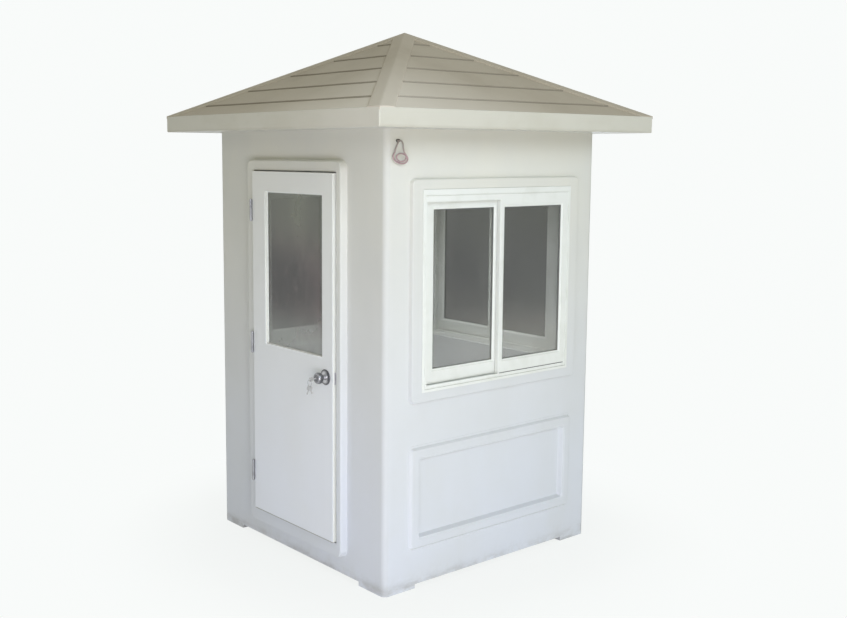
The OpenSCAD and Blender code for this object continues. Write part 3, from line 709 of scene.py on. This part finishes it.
window_coat = powder_coat("window_powder_coat", (226, 228, 224), (212, 214, 207))
seal_rubber = rubber("grey_seal", (78, 80, 78), (128, 128, 122))
pale_seal = rubber("pale_seal", (222, 224, 221), (200, 201, 197), top_darkening=0.8)
track_dirt = rubber("track_brush", (158, 158, 154), (176, 174, 166))
print("window coat, two seals and brush mixed")

# %% [markdown]
# ### Glass
#
# The panes are a grey tinted float glass. A thin pane bends light too little to need real
# refraction, so the shader is a dark gloss that is partly see-through: alpha sets how much of the
# view comes through each face, and a little dust and a few wiped smears change it from place to
# place. Daylight from lamps passes more freely than the view does, as the eye expects of tinted
# glass, so the room behind stays readable.

# %% Tinted glass
REFLECTION_TOP, REFLECTION_FOOT = (1.40, 1.78), (1.06, 1.30)


def tinted(name, cover, dark, dust, high, low, smears):
    """Tinted pane: how much it covers, its tint and dust, and painted reflections that lighten its top and
    its foot.
    """
    pane = Finish(name, IOR=1.52)
    smear = patches(pane, 0.40, 0.70, 3.5, 4, (1, 1, 0.5))
    film = patches(pane, 0.52, 0.8, 26, 5)
    rise = along(pane, 2)
    # The lighter bands at the top and the foot are painted reflections.
    tint = coats(pane, dark, (smear * 0.6 + film * 0.4, dust),
                 (step(pane, rise, *REFLECTION_TOP) * (0.6 + smear * 0.4), high),
                 ((1 - step(pane, rise, *REFLECTION_FOOT)) * (0.6 + smear * 0.2), low))
    passing = rays(pane, "Is Shadow Ray", "Is Diffuse Ray")
    return pane.drive(Base_Color=tint,
                      Alpha=(cover + smear * smears + film * 0.03) * (1 - passing * 0.85),
                      Roughness=0.03 + smear * 0.04 + film * 0.06)


pane_glass = tinted("tinted_glass", 0.48, (28, 30, 28), (76, 78, 73), (54, 56, 46), (116, 113, 105), 0.06)
door_pane = tinted("tinted_door_glass", 0.66, (54, 51, 50), (124, 110, 110), (116, 120, 106),
                   (146, 150, 147), 0.08)
print("glass has", len(pane_glass.nodes), "nodes")

# %% Window frame
FRAME_FACE, FRAME_BACK = -0.025, 0.037
JAMB, SILL, HEAD = 0.028, 0.030, 0.057
SASH_IN = 0.010
SASH_T, TRACK_GAP = 0.022, 0.002
OUTER_Y = FRAME_FACE + 0.003
INNER_Y = OUTER_Y + SASH_T + TRACK_GAP
LOW, TOP = WINDOW[2] + SILL, WINDOW[3] - HEAD
REACH = WINDOW[1] - JAMB + SASH_IN
RAIL_LOW, RAIL_TOP = 0.076, 0.045
OUTER_SASH = (-0.003, REACH), (0.0315, 0.045)
INNER_SASH = (-REACH, 0.028), (0.071, 0.047)
FIT = 0.0004
GLASS_HALF, GLASS_SLOT = 0.0025, 0.0026


def around(shape, stations):
    """A closed section carried round a rectangle: stations are (rectangle, y)."""
    shape.rows([rounded(rect, 0.0004, y, 1) for rect, y in stations], round_all=True)


def window_frame(side):
    shape = Shape(side)
    fit = inset(WINDOW, FIT)
    clear = margins(WINDOW, JAMB, JAMB, SILL, HEAD)
    pocket = inset(clear, -SASH_IN - 0.001)
    ridge = margins(WINDOW, 0.012, 0.012, 0.013, 0.026)
    lip = FRAME_FACE + 0.0024
    stations = [(fit, FRAME_BACK), (fit, FRAME_FACE + 0.002), (inset(fit, 0.0006), FRAME_FACE + 0.0006),
                (inset(fit, 0.002), FRAME_FACE), (ridge, FRAME_FACE), (inset(ridge, 0.0010), lip + 0.0022),
                (inset(ridge, 0.0036), lip + 0.0022), (inset(ridge, 0.0046), lip),
                (inset(clear, -0.0012), lip), (clear, lip + 0.0008)]
    for y in (OUTER_Y, INNER_Y):
        end = y + SASH_T + FIT
        stations += [(clear, y - FIT), (pocket, y - FIT), (pocket, end), (clear, end)]
    stations += [(clear, FRAME_BACK - 0.001), (inset(clear, -0.001), FRAME_BACK)]
    around(shape, stations)
    rib_x, rib_y = REACH - SASH_IN, OUTER_Y + SASH_T + FIT
    for z in (LOW - 0.002, TOP - 0.006):
        shape.block((-rib_x, rib_y, z), (rib_x, rib_y + TRACK_GAP - 2 * FIT, z + 0.008))
    return shape.piece(f"frame_{side}", "cabin", window_coat, "window_white", f"window_frame_{side}")


print("between the tracks", round(TOP - LOW, 3), "m")

# %% Sashes
def sash_rects(outer):
    """Outline and glass opening of a sash."""
    (x0, x1), stiles = OUTER_SASH if outer else INNER_SASH
    whole = (x0, x1, LOW - SASH_IN, TOP + SASH_IN)
    return whole, margins(whole, *stiles, RAIL_LOW, RAIL_TOP)


SEAL_SECTION = [(-0.001, 0), (-0.001, 0.0026), (0.0014, 0.0022), (0.0030, 0.0006), (0.0030, 0)]


def add_sash(shape, seals, outer):
    """A sash and the seals on both sides of its pane; returns its outline."""
    y0 = OUTER_Y if outer else INNER_Y
    y1, mid = y0 + SASH_T, y0 + SASH_T / 2
    whole, light = sash_rects(outer)
    bead = inset(light, -0.009)
    around(shape, [
        (light, mid - GLASS_SLOT), (light, y0 + 0.0055), (inset(light, -0.0012), y0 + 0.0042),
        (inset(bead, 0.0012), y0 + 0.0022), (bead, y0 + 0.0004), (inset(bead, -0.0006), y0),
        (inset(whole, 0.0012), y0), (whole, y0 + 0.0012),
        (whole, y1 - 0.0012), (inset(whole, 0.0012), y1), (inset(bead, -0.0006), y1), (bead, y1 - 0.0004),
        (inset(light, -0.0012), y1 - 0.0042), (light, y1 - 0.0055), (light, mid + GLASS_SLOT)])
    for way in (-1, 1):
        face = mid + way * GLASS_HALF
        around(seals, [(inset(light, draw_in), face + way * out) for draw_in, out in SEAL_SECTION])
    return whole


print("outer glass", [round(v, 3) for v in sash_rects(True)[1]])

# %% Whole windows
def add_window(side):
    """A window's frame, sashes, pane seals and brush strips; returns their names."""
    made = [window_frame(side)]
    sashes, seals, brushes = Shape(side), Shape(side), Shape(side)
    meeting_0 = add_sash(sashes, seals, True)[0]
    meeting_1 = add_sash(sashes, seals, False)[1]
    for groove in (0.004, 0.015):
        sashes.block((meeting_0 - 0.0012, OUTER_Y + groove, LOW + 0.004),
                     (meeting_0 + 0.001, OUTER_Y + groove + 0.003, TOP - 0.004))
    for x in (meeting_0 + 0.004, meeting_1 - 0.009):
        brushes.block((x, OUTER_Y + SASH_T - 0.0005, LOW - SASH_IN + 0.001),
                      (x + 0.005, INNER_Y + 0.0005, TOP + SASH_IN - 0.001))
    # A weather strip of dark seal along the outer sash's foot, there for its dark line: partly a painted
    # shadow.
    seals.block((0.004, OUTER_Y - 0.0014, LOW - 0.0002),
                (REACH - SASH_IN - 0.001, OUTER_Y + 0.0006, LOW + 0.0030))
    made.append(sashes.piece(f"sashes_{side}", "cabin", window_coat, "window_white", f"window_sashes_{side}"))
    made.append(seals.piece(f"pane_seals_{side}", "cabin", seal_rubber, "bush"))
    made.append(brushes.piece(f"brush_strips_{side}", "cabin", track_dirt, "bush"))
    return [piece.name for piece in made]


for side in ("right", "back", "left"):
    print(add_window(side))

# %% [markdown]
# ## Roof
#
# The roof is one moulding too, coloured a warm grey and pressed with five courses that look like
# lapped boards. Seen close, each course is a shallow slope that ends in a rounded lip over a
# shadow. Every slope is a grid: its rows follow the section from the eaves to the point, and each
# row is as long as twice its distance from the middle, which is what makes a square hipped roof.
# The cappings on the hips are strips of the same kind, 57 mm to each side.

# %% Roof finishes
def roof_skin(name, base, pale, dark, riser_shade, corner_light):
    """Warm grey gel coat: mottled, with painted shade on the risers under its lips and painted light towards
    the near corner.
    """
    skin = Finish(name, IOR=1.46)
    patch = patches(skin, 0.35, 0.72, 5, 6, roughness=0.65)
    run = patches(skin, 0.45, 0.7, 2.2, 5)
    grain = patches(skin, 0.35, 0.75, 120, 5, roughness=0.75)
    towards = along(skin, 0) - along(skin, 1)
    upright = 1 - step(skin, facing(skin), 0.30, 0.72)
    colour = coats(skin, base, (patch * 0.6, pale), (run * 0.55, dark), (grain * 0.22, dark),
                   # Painted light: lighter towards the near corner, where the light falls.
                   (step(skin, towards, 0.4, 1.75) * corner_light, (232, 224, 213)),
                   # Painted shade: the upright risers under the lips are darker.
                   (upright * riser_shade, (92, 86, 75)))
    relief = noise(skin, 55, 6, roughness=0.7) * 0.6 + noise(skin, 9, 3) * 1.6
    return skin.drive(Base_Color=colour, Roughness=0.62 + patch * 0.15, Normal=bump(skin, relief, 0.0012))


def fascia_skin():
    """The roof's pale band: smudged, with painted shade along its low edge and painted light on the front
    towards its near end.
    """
    skin = Finish("fascia_gel_coat", IOR=1.47)
    smudge = patches(skin, 0.40, 0.74, 4, 5, (1, 1, 2))
    low_edge_shade = 1 - step(skin, along(skin, 2), EAVES_Z + 0.004, EAVES_Z + 0.014)
    to_front = step(skin, facing(skin, 1) * -1, 0.4, 0.8)
    to_light = step(skin, along(skin, 0), -0.1, 0.85)
    # Painted shade along the low edge, and painted light on the front towards the near end.
    colour = coats(skin, (203, 201, 190), (smudge * 0.5, (192, 189, 175)),
                   (low_edge_shade * 0.25, (160, 154, 138)), (to_front * to_light * 0.7, (216, 213, 204)))
    return skin.drive(Base_Color=colour, Roughness=0.38 + smudge * 0.15,
                      Normal=bump(skin, noise(skin, 3.2, 3), 0.004))


# The last two numbers are the share of painted shade on the risers and of painted light at the near corner.
roof_coat = roof_skin("roof_gel_coat", (187, 177, 160), (197, 188, 173), (168, 157, 139), 0.48, 0.95)
hip_coat = roof_skin("hip_gel_coat", (189, 179, 162), (199, 190, 175), (172, 161, 143), 0.10, 0.66)
fascia_coat = fascia_skin()
print("roof coat has", len(roof_coat.nodes), "nodes")

# %% Slopes
EAVE = 0.887
SLOPE_LOW, RISE = 2.169, 0.422
APEX = SLOPE_LOW + RISE
FIRST_LAP, LAP_PITCH, COURSES = 0.766, 0.158, 5
LAP_H, HIP_H, HIP_W = 0.012, 0.015, 0.057
COLUMNS = 24


def plane_z(out):
    """Height of a slope's plane at a distance from the middle."""
    return APEX - RISE * out / EAVE


def course_rows():
    """The slope's section: (distance, height) from the eaves to the point, with rounded lips."""
    eave_z = plane_z(EAVE) + LAP_H
    section = [(EAVE - 0.0015, eave_z - 0.0012), (EAVE - 0.004, eave_z - 0.0004)]
    for out in (FIRST_LAP - LAP_PITCH * n for n in range(COURSES)):
        z = plane_z(out)
        section += [(out + 0.012, z + 0.0018), (out + 0.0015, z), (out - 0.0004, z + 0.0006),
                    (out, z + 0.0035), (out, z + LAP_H - 0.0045), (out - 0.0008, z + LAP_H - 0.0018),
                    (out - 0.0035, z + LAP_H - 0.0004), (out - 0.010, z + LAP_H)]
    return section + [(0.004, APEX - 0.002)]


def roof_slope(side):
    """Row ends lie on the hips; a little sag between them keeps the laps from looking ruled."""
    turn = {"right": 0, "back": 90, "left": 180, "front": 270}[side]
    spin = Matrix.Rotation(math.radians(turn), 3, "Z")
    rows = []
    for out, z in course_rows():
        sag = [0.0007 * math.sin(9.1 * k / COLUMNS + 31 * out + turn) for k in range(COLUMNS + 1)]
        rows.append([tuple(spin @ Vector((out, out * (2 * k / COLUMNS - 1), z - abs(sag[k]))))
                     for k in range(COLUMNS + 1)])
    return Shape().rows(rows, round_row=False).piece(f"roof_courses_{side}", "cabin", roof_coat, "roof",
                                                     f"roof_slope_{side}")


for side in ("front", "right", "back", "left"):
    roof_slope(side)
print("a slope has", len(course_rows()), "rows")

# %% Hip cappings
cappings = Shape()
CAP_SECTION = [(HIP_W, -0.004), (HIP_W, HIP_H - 0.005), (HIP_W - 0.001, HIP_H - 0.002),
               (HIP_W - 0.0035, HIP_H - 0.0004), (HIP_W - 0.008, HIP_H),
               (0.012, HIP_H), (0.005, HIP_H - 0.0002), (0, HIP_H - 0.0012)]
CAP_STEPS = 14
for sx, sy in ((1, 1), (-1, 1), (-1, -1), (1, -1)):
    for swap in (False, True):
        strips = []
        for wide, lift in CAP_SECTION:
            aside = wide / math.sqrt(2)
            strip = []
            for k in range(CAP_STEPS + 1):
                out = aside + (EAVE - 0.0005 - 2 * aside) * k / CAP_STEPS
                far, near_in = out + aside, out - aside
                x, y = (near_in, far) if swap else (far, near_in)
                strip.append((sx * x, sy * y, plane_z(far) + lift))
            x, y, _ = strip[-1]
            strip.append((x, y, SLOPE_LOW + min(lift, 0.0)))
            strips.append(strip)
        cappings.rows(strips, round_row=False)
cappings.piece("hip_cappings", "cabin", hip_coat, "roof", "hip_capping")
print("cappings have", len(cappings.faces), "faces")

# %% Fascia
FASCIA_SECTION = [(0.0200, 0.0), (0.0050, 0.0), (0.0020, 0.0008), (0.0004, 0.0030), (0.0, 0.0060),
                  (0.0, 0.0770), (0.0006, 0.0796), (0.0025, 0.0808), (0.0060, 0.0808), (0.0200, 0.0690)]
fascia = Shape()
rings = []
for draw_in, rise in FASCIA_SECTION:
    edge = EAVE - draw_in
    corner = 0.007 if draw_in < 0.007 else 0.001
    rings.append([(x, z, EAVES_Z + rise) for x, _, z in rounded((-edge, edge, -edge, edge), corner, 0, 4)])
fascia.rows(rings, round_all=True).piece("fascia_band", "cabin", fascia_coat, "fascia", "roof_fascia")
print("roof done, point at", round(APEX + HIP_H, 3))

# %% [markdown]
# ## Door leaf
#
# The leaf is one pressed skin over a foam core, 40 mm thick, with rounded edges all round and a
# soft return into the glass. The edge and the two returns are sections carried round a rectangle,
# and each face is one flat with the opening as its hole. Sections are pairs (inset, y), where y is
# the depth behind the wall's face. The leaf closes on a bulb of rubber on the doorway's stops.

# %% Sizes and paint of the leaf
LEAF = (-0.300, 0.370, 0.180, 1.906)
LIGHT = (-0.187, 0.286, 1.052, 1.806)
LEAF_FACE, LEAF_BACK = -0.0505, -0.0105
LEAF_MID = (LEAF_FACE + LEAF_BACK) / 2
LEAF_R = 0.004
FACE_Y, BACK_Y = LEAF_FACE - HALF, LEAF_BACK - HALF

# As on the walls, its tones and undersides are painted light; its edge band is painted shade.
door_paint = white_skin("white_door_paint", (228, 229, 225), (226, 230, 240), (221, 223, 224),
                        (224, 227, 234), 0.36, 0.0015, edge=(FACE_Y + 0.001, BACK_Y - 0.001))
print("leaf is", round(LEAF[1] - LEAF[0], 3), "by", round(LEAF[3] - LEAF[2], 3), "m")

# %% Leaf
def ring(rect, draw_in, y):
    """One ring of a section carried round; the corner radius shrinks with the inset."""
    return rounded(inset(rect, draw_in), max(LEAF_R - draw_in, 0.0004), y, 4)


def carry_round(shape, rect, section):
    """Carries (inset, y) pairs round a rectangle."""
    return shape.rows([ring(rect, draw_in, y) for draw_in, y in section])


EDGE_R, REVEAL_R, GAP = 0.0035, 0.0025, 0.0002
leaf = Shape("front")
leaf_rect = inset(LEAF, 0.0003)
edge = (arc(EDGE_R, LEAF_BACK - EDGE_R, EDGE_R, 5, 90, 180)
        + arc(EDGE_R, LEAF_FACE + EDGE_R, EDGE_R, 5, 180, 270))
reveal = arc(-REVEAL_R, LEAF_FACE + REVEAL_R, REVEAL_R, 5, -90, 0) + [(0, LEAF_MID - GLASS_HALF - GAP)]
reveal_back = [(0, LEAF_MID + GLASS_HALF + GAP)] + arc(-REVEAL_R, LEAF_BACK - REVEAL_R, REVEAL_R, 5, 0, 90)
for rect, section in ((leaf_rect, edge), (LIGHT, reveal), (LIGHT, reveal_back)):
    carry_round(leaf, rect, section)
for rim, hole in ((edge[-1], reveal[0]), (edge[0], reveal_back[-1])):
    leaf.flat(ring(leaf_rect, rim[0], rim[1]), ring(LIGHT, hole[0], rim[1]))
leaf.piece("door_panel", "door", door_paint, "door_white", "door_leaf")
print("leaf has", len(leaf.faces), "faces")

# %% Seals of the door
GLAZING_SECTION = [(-0.001, 0), (-0.001, 0.0040), (0.0016, 0.0034), (0.0040, 0.0010), (0.0042, 0)]
glazing = Shape("front")
for way in (-1, 1):
    face = LEAF_MID + way * GLASS_HALF
    carry_round(glazing, LIGHT, [(draw_in, face + way * out) for draw_in, out in GLAZING_SECTION])
glazing.piece("door_pane_seal", "door", pale_seal, "bush")

sweep = Shape("front").block((LEAF[0] + 0.004, LEAF_FACE + 0.0006, LEAF[2] - 0.0020),
                             (LEAF[1] - 0.006, LEAF_BACK - 0.004, LEAF[2] + 0.0006))
sweep.piece("door_sweep", "door", track_dirt, "bush")

STOP_FACE, BULB_IN = -0.0055, 0.0085
bulb = Shape("front")
carry_round(bulb, DOORWAY, [(BULB_IN + 0.0036 * math.cos(a), STOP_FACE - 0.0034 * math.sin(a))
                            for a in angles(8, 0, 180)])
bulb.piece("door_bulb_seal", "cabin", seal_rubber, "bush")
print("door seals done")

# %% [markdown]
# ## Metal parts
#
# Turned parts are made as on a lathe: a section of (radius, distance) pairs spun round an axis.
# Keys are stamped plates, so they are a flat outline with real cuts, given a thickness. The split
# ring is a real one, wound twice from thin wire. Brushed steel gets stretched noise round its
# axis in roughness and bump, because fine turning marks are what tell steel from grey plastic.

# %% Metal finishes
def metal(name, base, tarnish, rough, stretch=(1, 1, 1), mark=240, metallic=1.0):
    """Metal with dull spots and fine marks; without a base, its colour is left to the caller."""
    skin = Finish(name, Metallic=metallic)
    dull = patches(skin, 0.42, 0.72, 45, 5)
    marks = noise(skin, mark, 4, stretch, roughness=0.7)
    if base:
        skin.drive(Base_Color=mix(skin, dull * 0.5 + marks * 0.15, base, tarnish))
    return skin.drive(Roughness=rough + dull * 0.14 + marks * 0.1, Normal=bump(skin, marks, 0.00006))


satin_steel = metal("satin_steel", (140, 140, 142), (108, 108, 108), 0.20)
latch_steel = metal("latch_steel", (205, 204, 208), (184, 182, 186), 0.50, metallic=0.5)
hinge_steel = metal("hinge_steel", (158, 159, 162), (132, 133, 136), 0.48, (1, 1, 6), 160, metallic=0.7)
key_brass = metal("nickel_brass", (190, 190, 189), (160, 160, 156), 0.46, metallic=0.8)
print("four metals mixed")

# %% Turned steel of the knobs
KNOB_X, KNOB_Z = 0.313, 0.962
KNOB_REACH = 0.054
TONE_R = 0.040
# Rings by distance from the axis: painted reflections and highlights, painted shade at the rims, and a neck
# painted lighter where its shadow falls.
ROSE_PAINTED_LIGHT = [(0.0, (206, 206, 208)), (0.34, (196, 196, 198)), (0.60, (184, 184, 187)),
              (0.70, (150, 150, 153)), (0.80, (104, 104, 107)), (0.92, (84, 84, 87))]
GRIP_PAINTED_LIGHT = [(0.0, (120, 120, 123)), (0.42, (116, 116, 119)), (0.54, (164, 164, 167)),
              (0.62, (150, 150, 153)), (0.68, (112, 112, 115))]


def tones(finish, where, stops):
    """Colour from a row of (place, colour) stops."""
    stops = [(at, paint(*colour)) for at, colour in stops]
    return finish.add("ShaderNodeValToRGB", {"stops": stops}, {0: where})


knob_steel = metal("turned_steel", None, None, 0.22)
from_axis = vector_maths(knob_steel, "SUBTRACT", place(knob_steel), (KNOB_X, 0, KNOB_Z))
radius = length_of(knob_steel, vector_maths(knob_steel, "MULTIPLY", from_axis, (1, 0, 1)))
on_grip = step(knob_steel, along(knob_steel, 1) * -1, 0.0185 - FACE_Y, 0.0225 - FACE_Y)
worn = patches(knob_steel, 0.42, 0.72, 70, 5)
knob_steel.drive(Base_Color=coats(knob_steel, tones(knob_steel, radius / TONE_R, ROSE_PAINTED_LIGHT),
                                  (on_grip, tones(knob_steel, radius / TONE_R, GRIP_PAINTED_LIGHT)),
                                  (worn * 0.25, (112, 112, 113))))
print("turned steel has", len(knob_steel.nodes), "nodes")

# %% Lathe, plates and tube
def lathe(shape, spot, way, section, turns=48):
    """Spins (radius, distance) pairs round an axis along y, from a spot towards way."""
    x, y, z = spot
    return shape.rows([[(u, y + way * d, v) for u, v in arc(x, z, r, turns)[:-1]] for r, d in section])


def smooth(points, steps=4):
    """More points on a smooth curve through the given ones."""
    vectors = [Vector((*p, 0)) for p in points]
    curve = [on_curve(vectors, n, k / steps) for n in range(len(vectors) - 1) for k in range(steps)]
    return [(max(v.x, 0.0), v.y) for v in curve] + [tuple(points[-1])]


def stamped(shape, outline, hole, x0, x1):
    """A plate in the y-z plane with one hole, between two x."""
    for x in (x0, x1):
        shape.flat([(x, y, z) for y, z in outline], [(x, y, z) for y, z in hole])
    for loop in (outline, hole):
        shape.rows([[(x0, y, z) for y, z in loop], [(x1, y, z) for y, z in loop]])


def tube(shape, path, radius, sides=8):
    """A round wire along points; its frame is carried from point to point without twist."""
    rings, side = [], Vector((0, 1, 0))
    for n, spot in enumerate(path):
        ahead = (path[min(n + 1, len(path) - 1)] - path[max(n - 1, 0)]).normalized()
        side = (side - ahead * side.dot(ahead)).normalized()
        third = ahead.cross(side)
        rings.append([tuple(spot + radius * (math.cos(a) * side + math.sin(a) * third))
                      for a in angles(sides)[:-1]])
    return shape.rows(rings).flat(rings[0]).flat(rings[-1])


print("3 points make a smooth row of", len(smooth([(0, 0), (1, 1), (2, 0)])))

# %% Knobs and roses
GRIP = [(0.0128, 0.036), (0.0170, 0.0315), (0.0225, 0.0265), (0.0261, 0.0200),
        (0.0270, 0.0140), (0.0262, 0.0070), (0.0240, 0.0025), (0.0205, 0.0004)]
PLUG = [(0.0120, 0), (0.0082, 0), (0.0080, 0.0008), (0.0074, 0.0008), (0.0072, 0), (0, 0)]
GRIP_CURVE = smooth([(r, KNOB_REACH - back) for r, back in GRIP])
KNOB = [(0.012, -0.002), (0.012, KNOB_REACH - 0.040), *GRIP_CURVE,
        *((r, KNOB_REACH - back) for r, back in PLUG)]
ROSE = smooth([(0.0368, 0.0002), (0.0370, 0.0012), (0.0360, 0.0034), (0.0318, 0.0050), (0.0240, 0.0058),
               (0.0170, 0.0060)]) + [(0.0135, 0.0060), (0.0128, 0.0052), (0.0128, 0.0010)]

roses = Shape()
for face_y, way in ((FACE_Y, -1), (BACK_Y, 1)):
    lathe(roses, (KNOB_X, face_y, KNOB_Z), way, ROSE)
roses.piece("lock_rose_pair", "door", knob_steel, "hardware_steel", "lock_roses")
outside_knob = lathe(Shape(), (KNOB_X, FACE_Y, KNOB_Z), -1, KNOB)
outside_knob.piece("outside_knob", "knob_outside", knob_steel, "hardware_steel", "outer_knob")
inside_knob = lathe(Shape(), (KNOB_X, BACK_Y, KNOB_Z), 1, KNOB)
inside_knob.piece("inside_knob", "knob_inside", knob_steel, "hardware_steel", "inner_knob")
print("knob has", len(KNOB), "rings")

# %% Keys
KEY_T, BOW_R, BOW_HOLE, BLADE = 0.002, 0.0115, 0.003, 0.0035
HOLE_OUT, HOLE_TURNS = 0.007, 16
BOW_STAND, BLADE_IN = 0.018, 0.008
SPARE_L, SPARE_SPLAY = 0.038, math.radians(20)
CUTS = [0.0, 0.0016, 0.0006, 0.0021, 0.0011, 0.0018, 0.0004]


def key_outline(length, turns=28):
    """Key along +u with its bow's middle at 0: bow, shoulder, teeth and tip, as (u, v)."""
    half = math.degrees(math.asin(BLADE / BOW_R))
    bow = arc(0, 0, BOW_R, turns, half, 360 - half)
    pitch = (length - BOW_R - 0.008) / len(CUTS)
    teeth = []
    for n, cut in enumerate(CUTS):
        u = BOW_R + 0.004 + pitch * n
        teeth += [(u, -BLADE + cut), (u + pitch * 0.45, -BLADE + cut)]
    return bow + teeth + [(length - 0.003, -BLADE + 0.001), (length, 0.0005),
                          (length - 0.002, BLADE - 0.0006), (length - 0.004, BLADE)]


BOW_Y = FACE_Y - KNOB_REACH - BOW_STAND - BOW_R
RING_Y = BOW_Y - HOLE_OUT
RING_R = 0.015
RING_Z = KNOB_Z - BOW_HOLE + 0.0013 - RING_R
in_lock = Shape()
lock_length = BOW_R + BOW_STAND + BLADE_IN - 0.001
stamped(in_lock, [(BOW_Y + u, KNOB_Z + v) for u, v in key_outline(lock_length)],
        arc(RING_Y, KNOB_Z, BOW_HOLE, HOLE_TURNS)[:-1], KNOB_X - KEY_T / 2, KNOB_X + KEY_T / 2)
in_lock.piece("key_in_lock", "knob_outside", key_brass, "key_brass", "lock_key")

spares = Shape()
hole_z = RING_Z - RING_R - BOW_HOLE + 0.0013
for way in (-1, 1):
    x0 = KNOB_X + way * (KEY_T + 0.0007) / 2 - KEY_T / 2
    turn = way * SPARE_SPLAY
    outline = [(RING_Y + way * v * math.cos(turn) + (u + HOLE_OUT) * math.sin(turn),
                hole_z + way * v * math.sin(turn) - (u + HOLE_OUT) * math.cos(turn))
               for u, v in key_outline(SPARE_L - HOLE_OUT)]
    stamped(spares, outline, arc(RING_Y, hole_z, BOW_HOLE, HOLE_TURNS)[:-1], x0, x0 + KEY_T)
spares.piece("spare_key_pair", "knob_outside", key_brass, "key_brass", "spare_keys")
print("key in the lock is", round((lock_length + BOW_R) * 1000, 1), "mm long")

# %% Split ring
TURNS, RING_STEPS, WINDING_T = 2, 40, 0.001
winding = Shape()
turned = angles(TURNS * RING_STEPS, 0, TURNS * 360)
tube(winding, [Vector((KNOB_X + RING_R * math.sin(a), RING_Y + WINDING_T * (n / (len(turned) - 1) - 0.5),
                       RING_Z - RING_R * math.cos(a))) for n, a in enumerate(turned)], 0.00048)
winding.piece("split_ring", "knob_outside", satin_steel, "hardware_steel", "key_ring")
print("ring wound", TURNS, "times")

# %% [markdown]
# ## Parts that keep their construction shape
#
# Hinges, plates, panes, floor and ceiling are plain parts whose construction shape is already
# right, so they only need a finish. The wire gets its own here too: one colour in its loop and
# another where it nears the bush.

# %% Finishes for the other parts
# On the soffit the undersides' colour is painted light, and the band under the eaves is painted shade.
ceiling_coat = white_skin("ceiling_gel_coat", (214, 212, 203), (214, 212, 203), (200, 197, 186),
                          (212, 210, 202), 0.45, 0.004)
floor_sheet = Finish("floor_sheet", IOR=1.46)
fleck = patches(floor_sheet, 0.52, 0.6, 260, 2)
tread = patches(floor_sheet, 0.40, 0.7, 4, 5)
floor_sheet.drive(Base_Color=coats(floor_sheet, (150, 143, 133), (fleck * 0.35, (106, 100, 93)),
                                   (tread * 0.4, (120, 112, 98))),
                  Roughness=0.5 + tread * 0.3, Normal=bump(floor_sheet, fleck, 0.0002))


print("ceiling and floor finishes mixed")

# %% Finishes put on
def dress(finish, *nodes):
    for node in nodes:
        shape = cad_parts[node]
        shape.data.materials.clear()
        shape.data.materials.append(finish.material)


dress(door_pane, "door_glass")
dress(pane_glass, "window_glass_right", "window_glass_left", "window_glass_back")
dress(hinge_steel, "hinge_fixed_leaves", "hinge_moving_leaves", "hinge_pins")
dress(latch_steel, "latch_faceplate", "strike_plate")
dress(ceiling_coat, "soffit_panel")
dress(floor_sheet, "floor_slab")
dress(door_paint, "door_stops")
dress(seal_rubber, "wire_bush")

wire_skin = Finish("wire_insulation", IOR=1.5)
fade = patches(wire_skin, 0.38, 0.7, 60, 4)
pink = mix(wire_skin, fade, (160, 134, 136), (180, 152, 153))
grey = mix(wire_skin, fade, (146, 136, 130), (162, 150, 145))
high = step(wire_skin, along(wire_skin, 2), 1.985, 2.01)
wire_skin.drive(Base_Color=mix(wire_skin, high, pink, grey), Roughness=0.42 + fade * 0.2,
                Normal=bump(wire_skin, noise(wire_skin, 500, 2), 0.0001))
wire.data.materials.append(wire_skin.material)
print("finishes on")

# %% Finish
bpy.context.scene.view_settings.view_transform = "Standard"
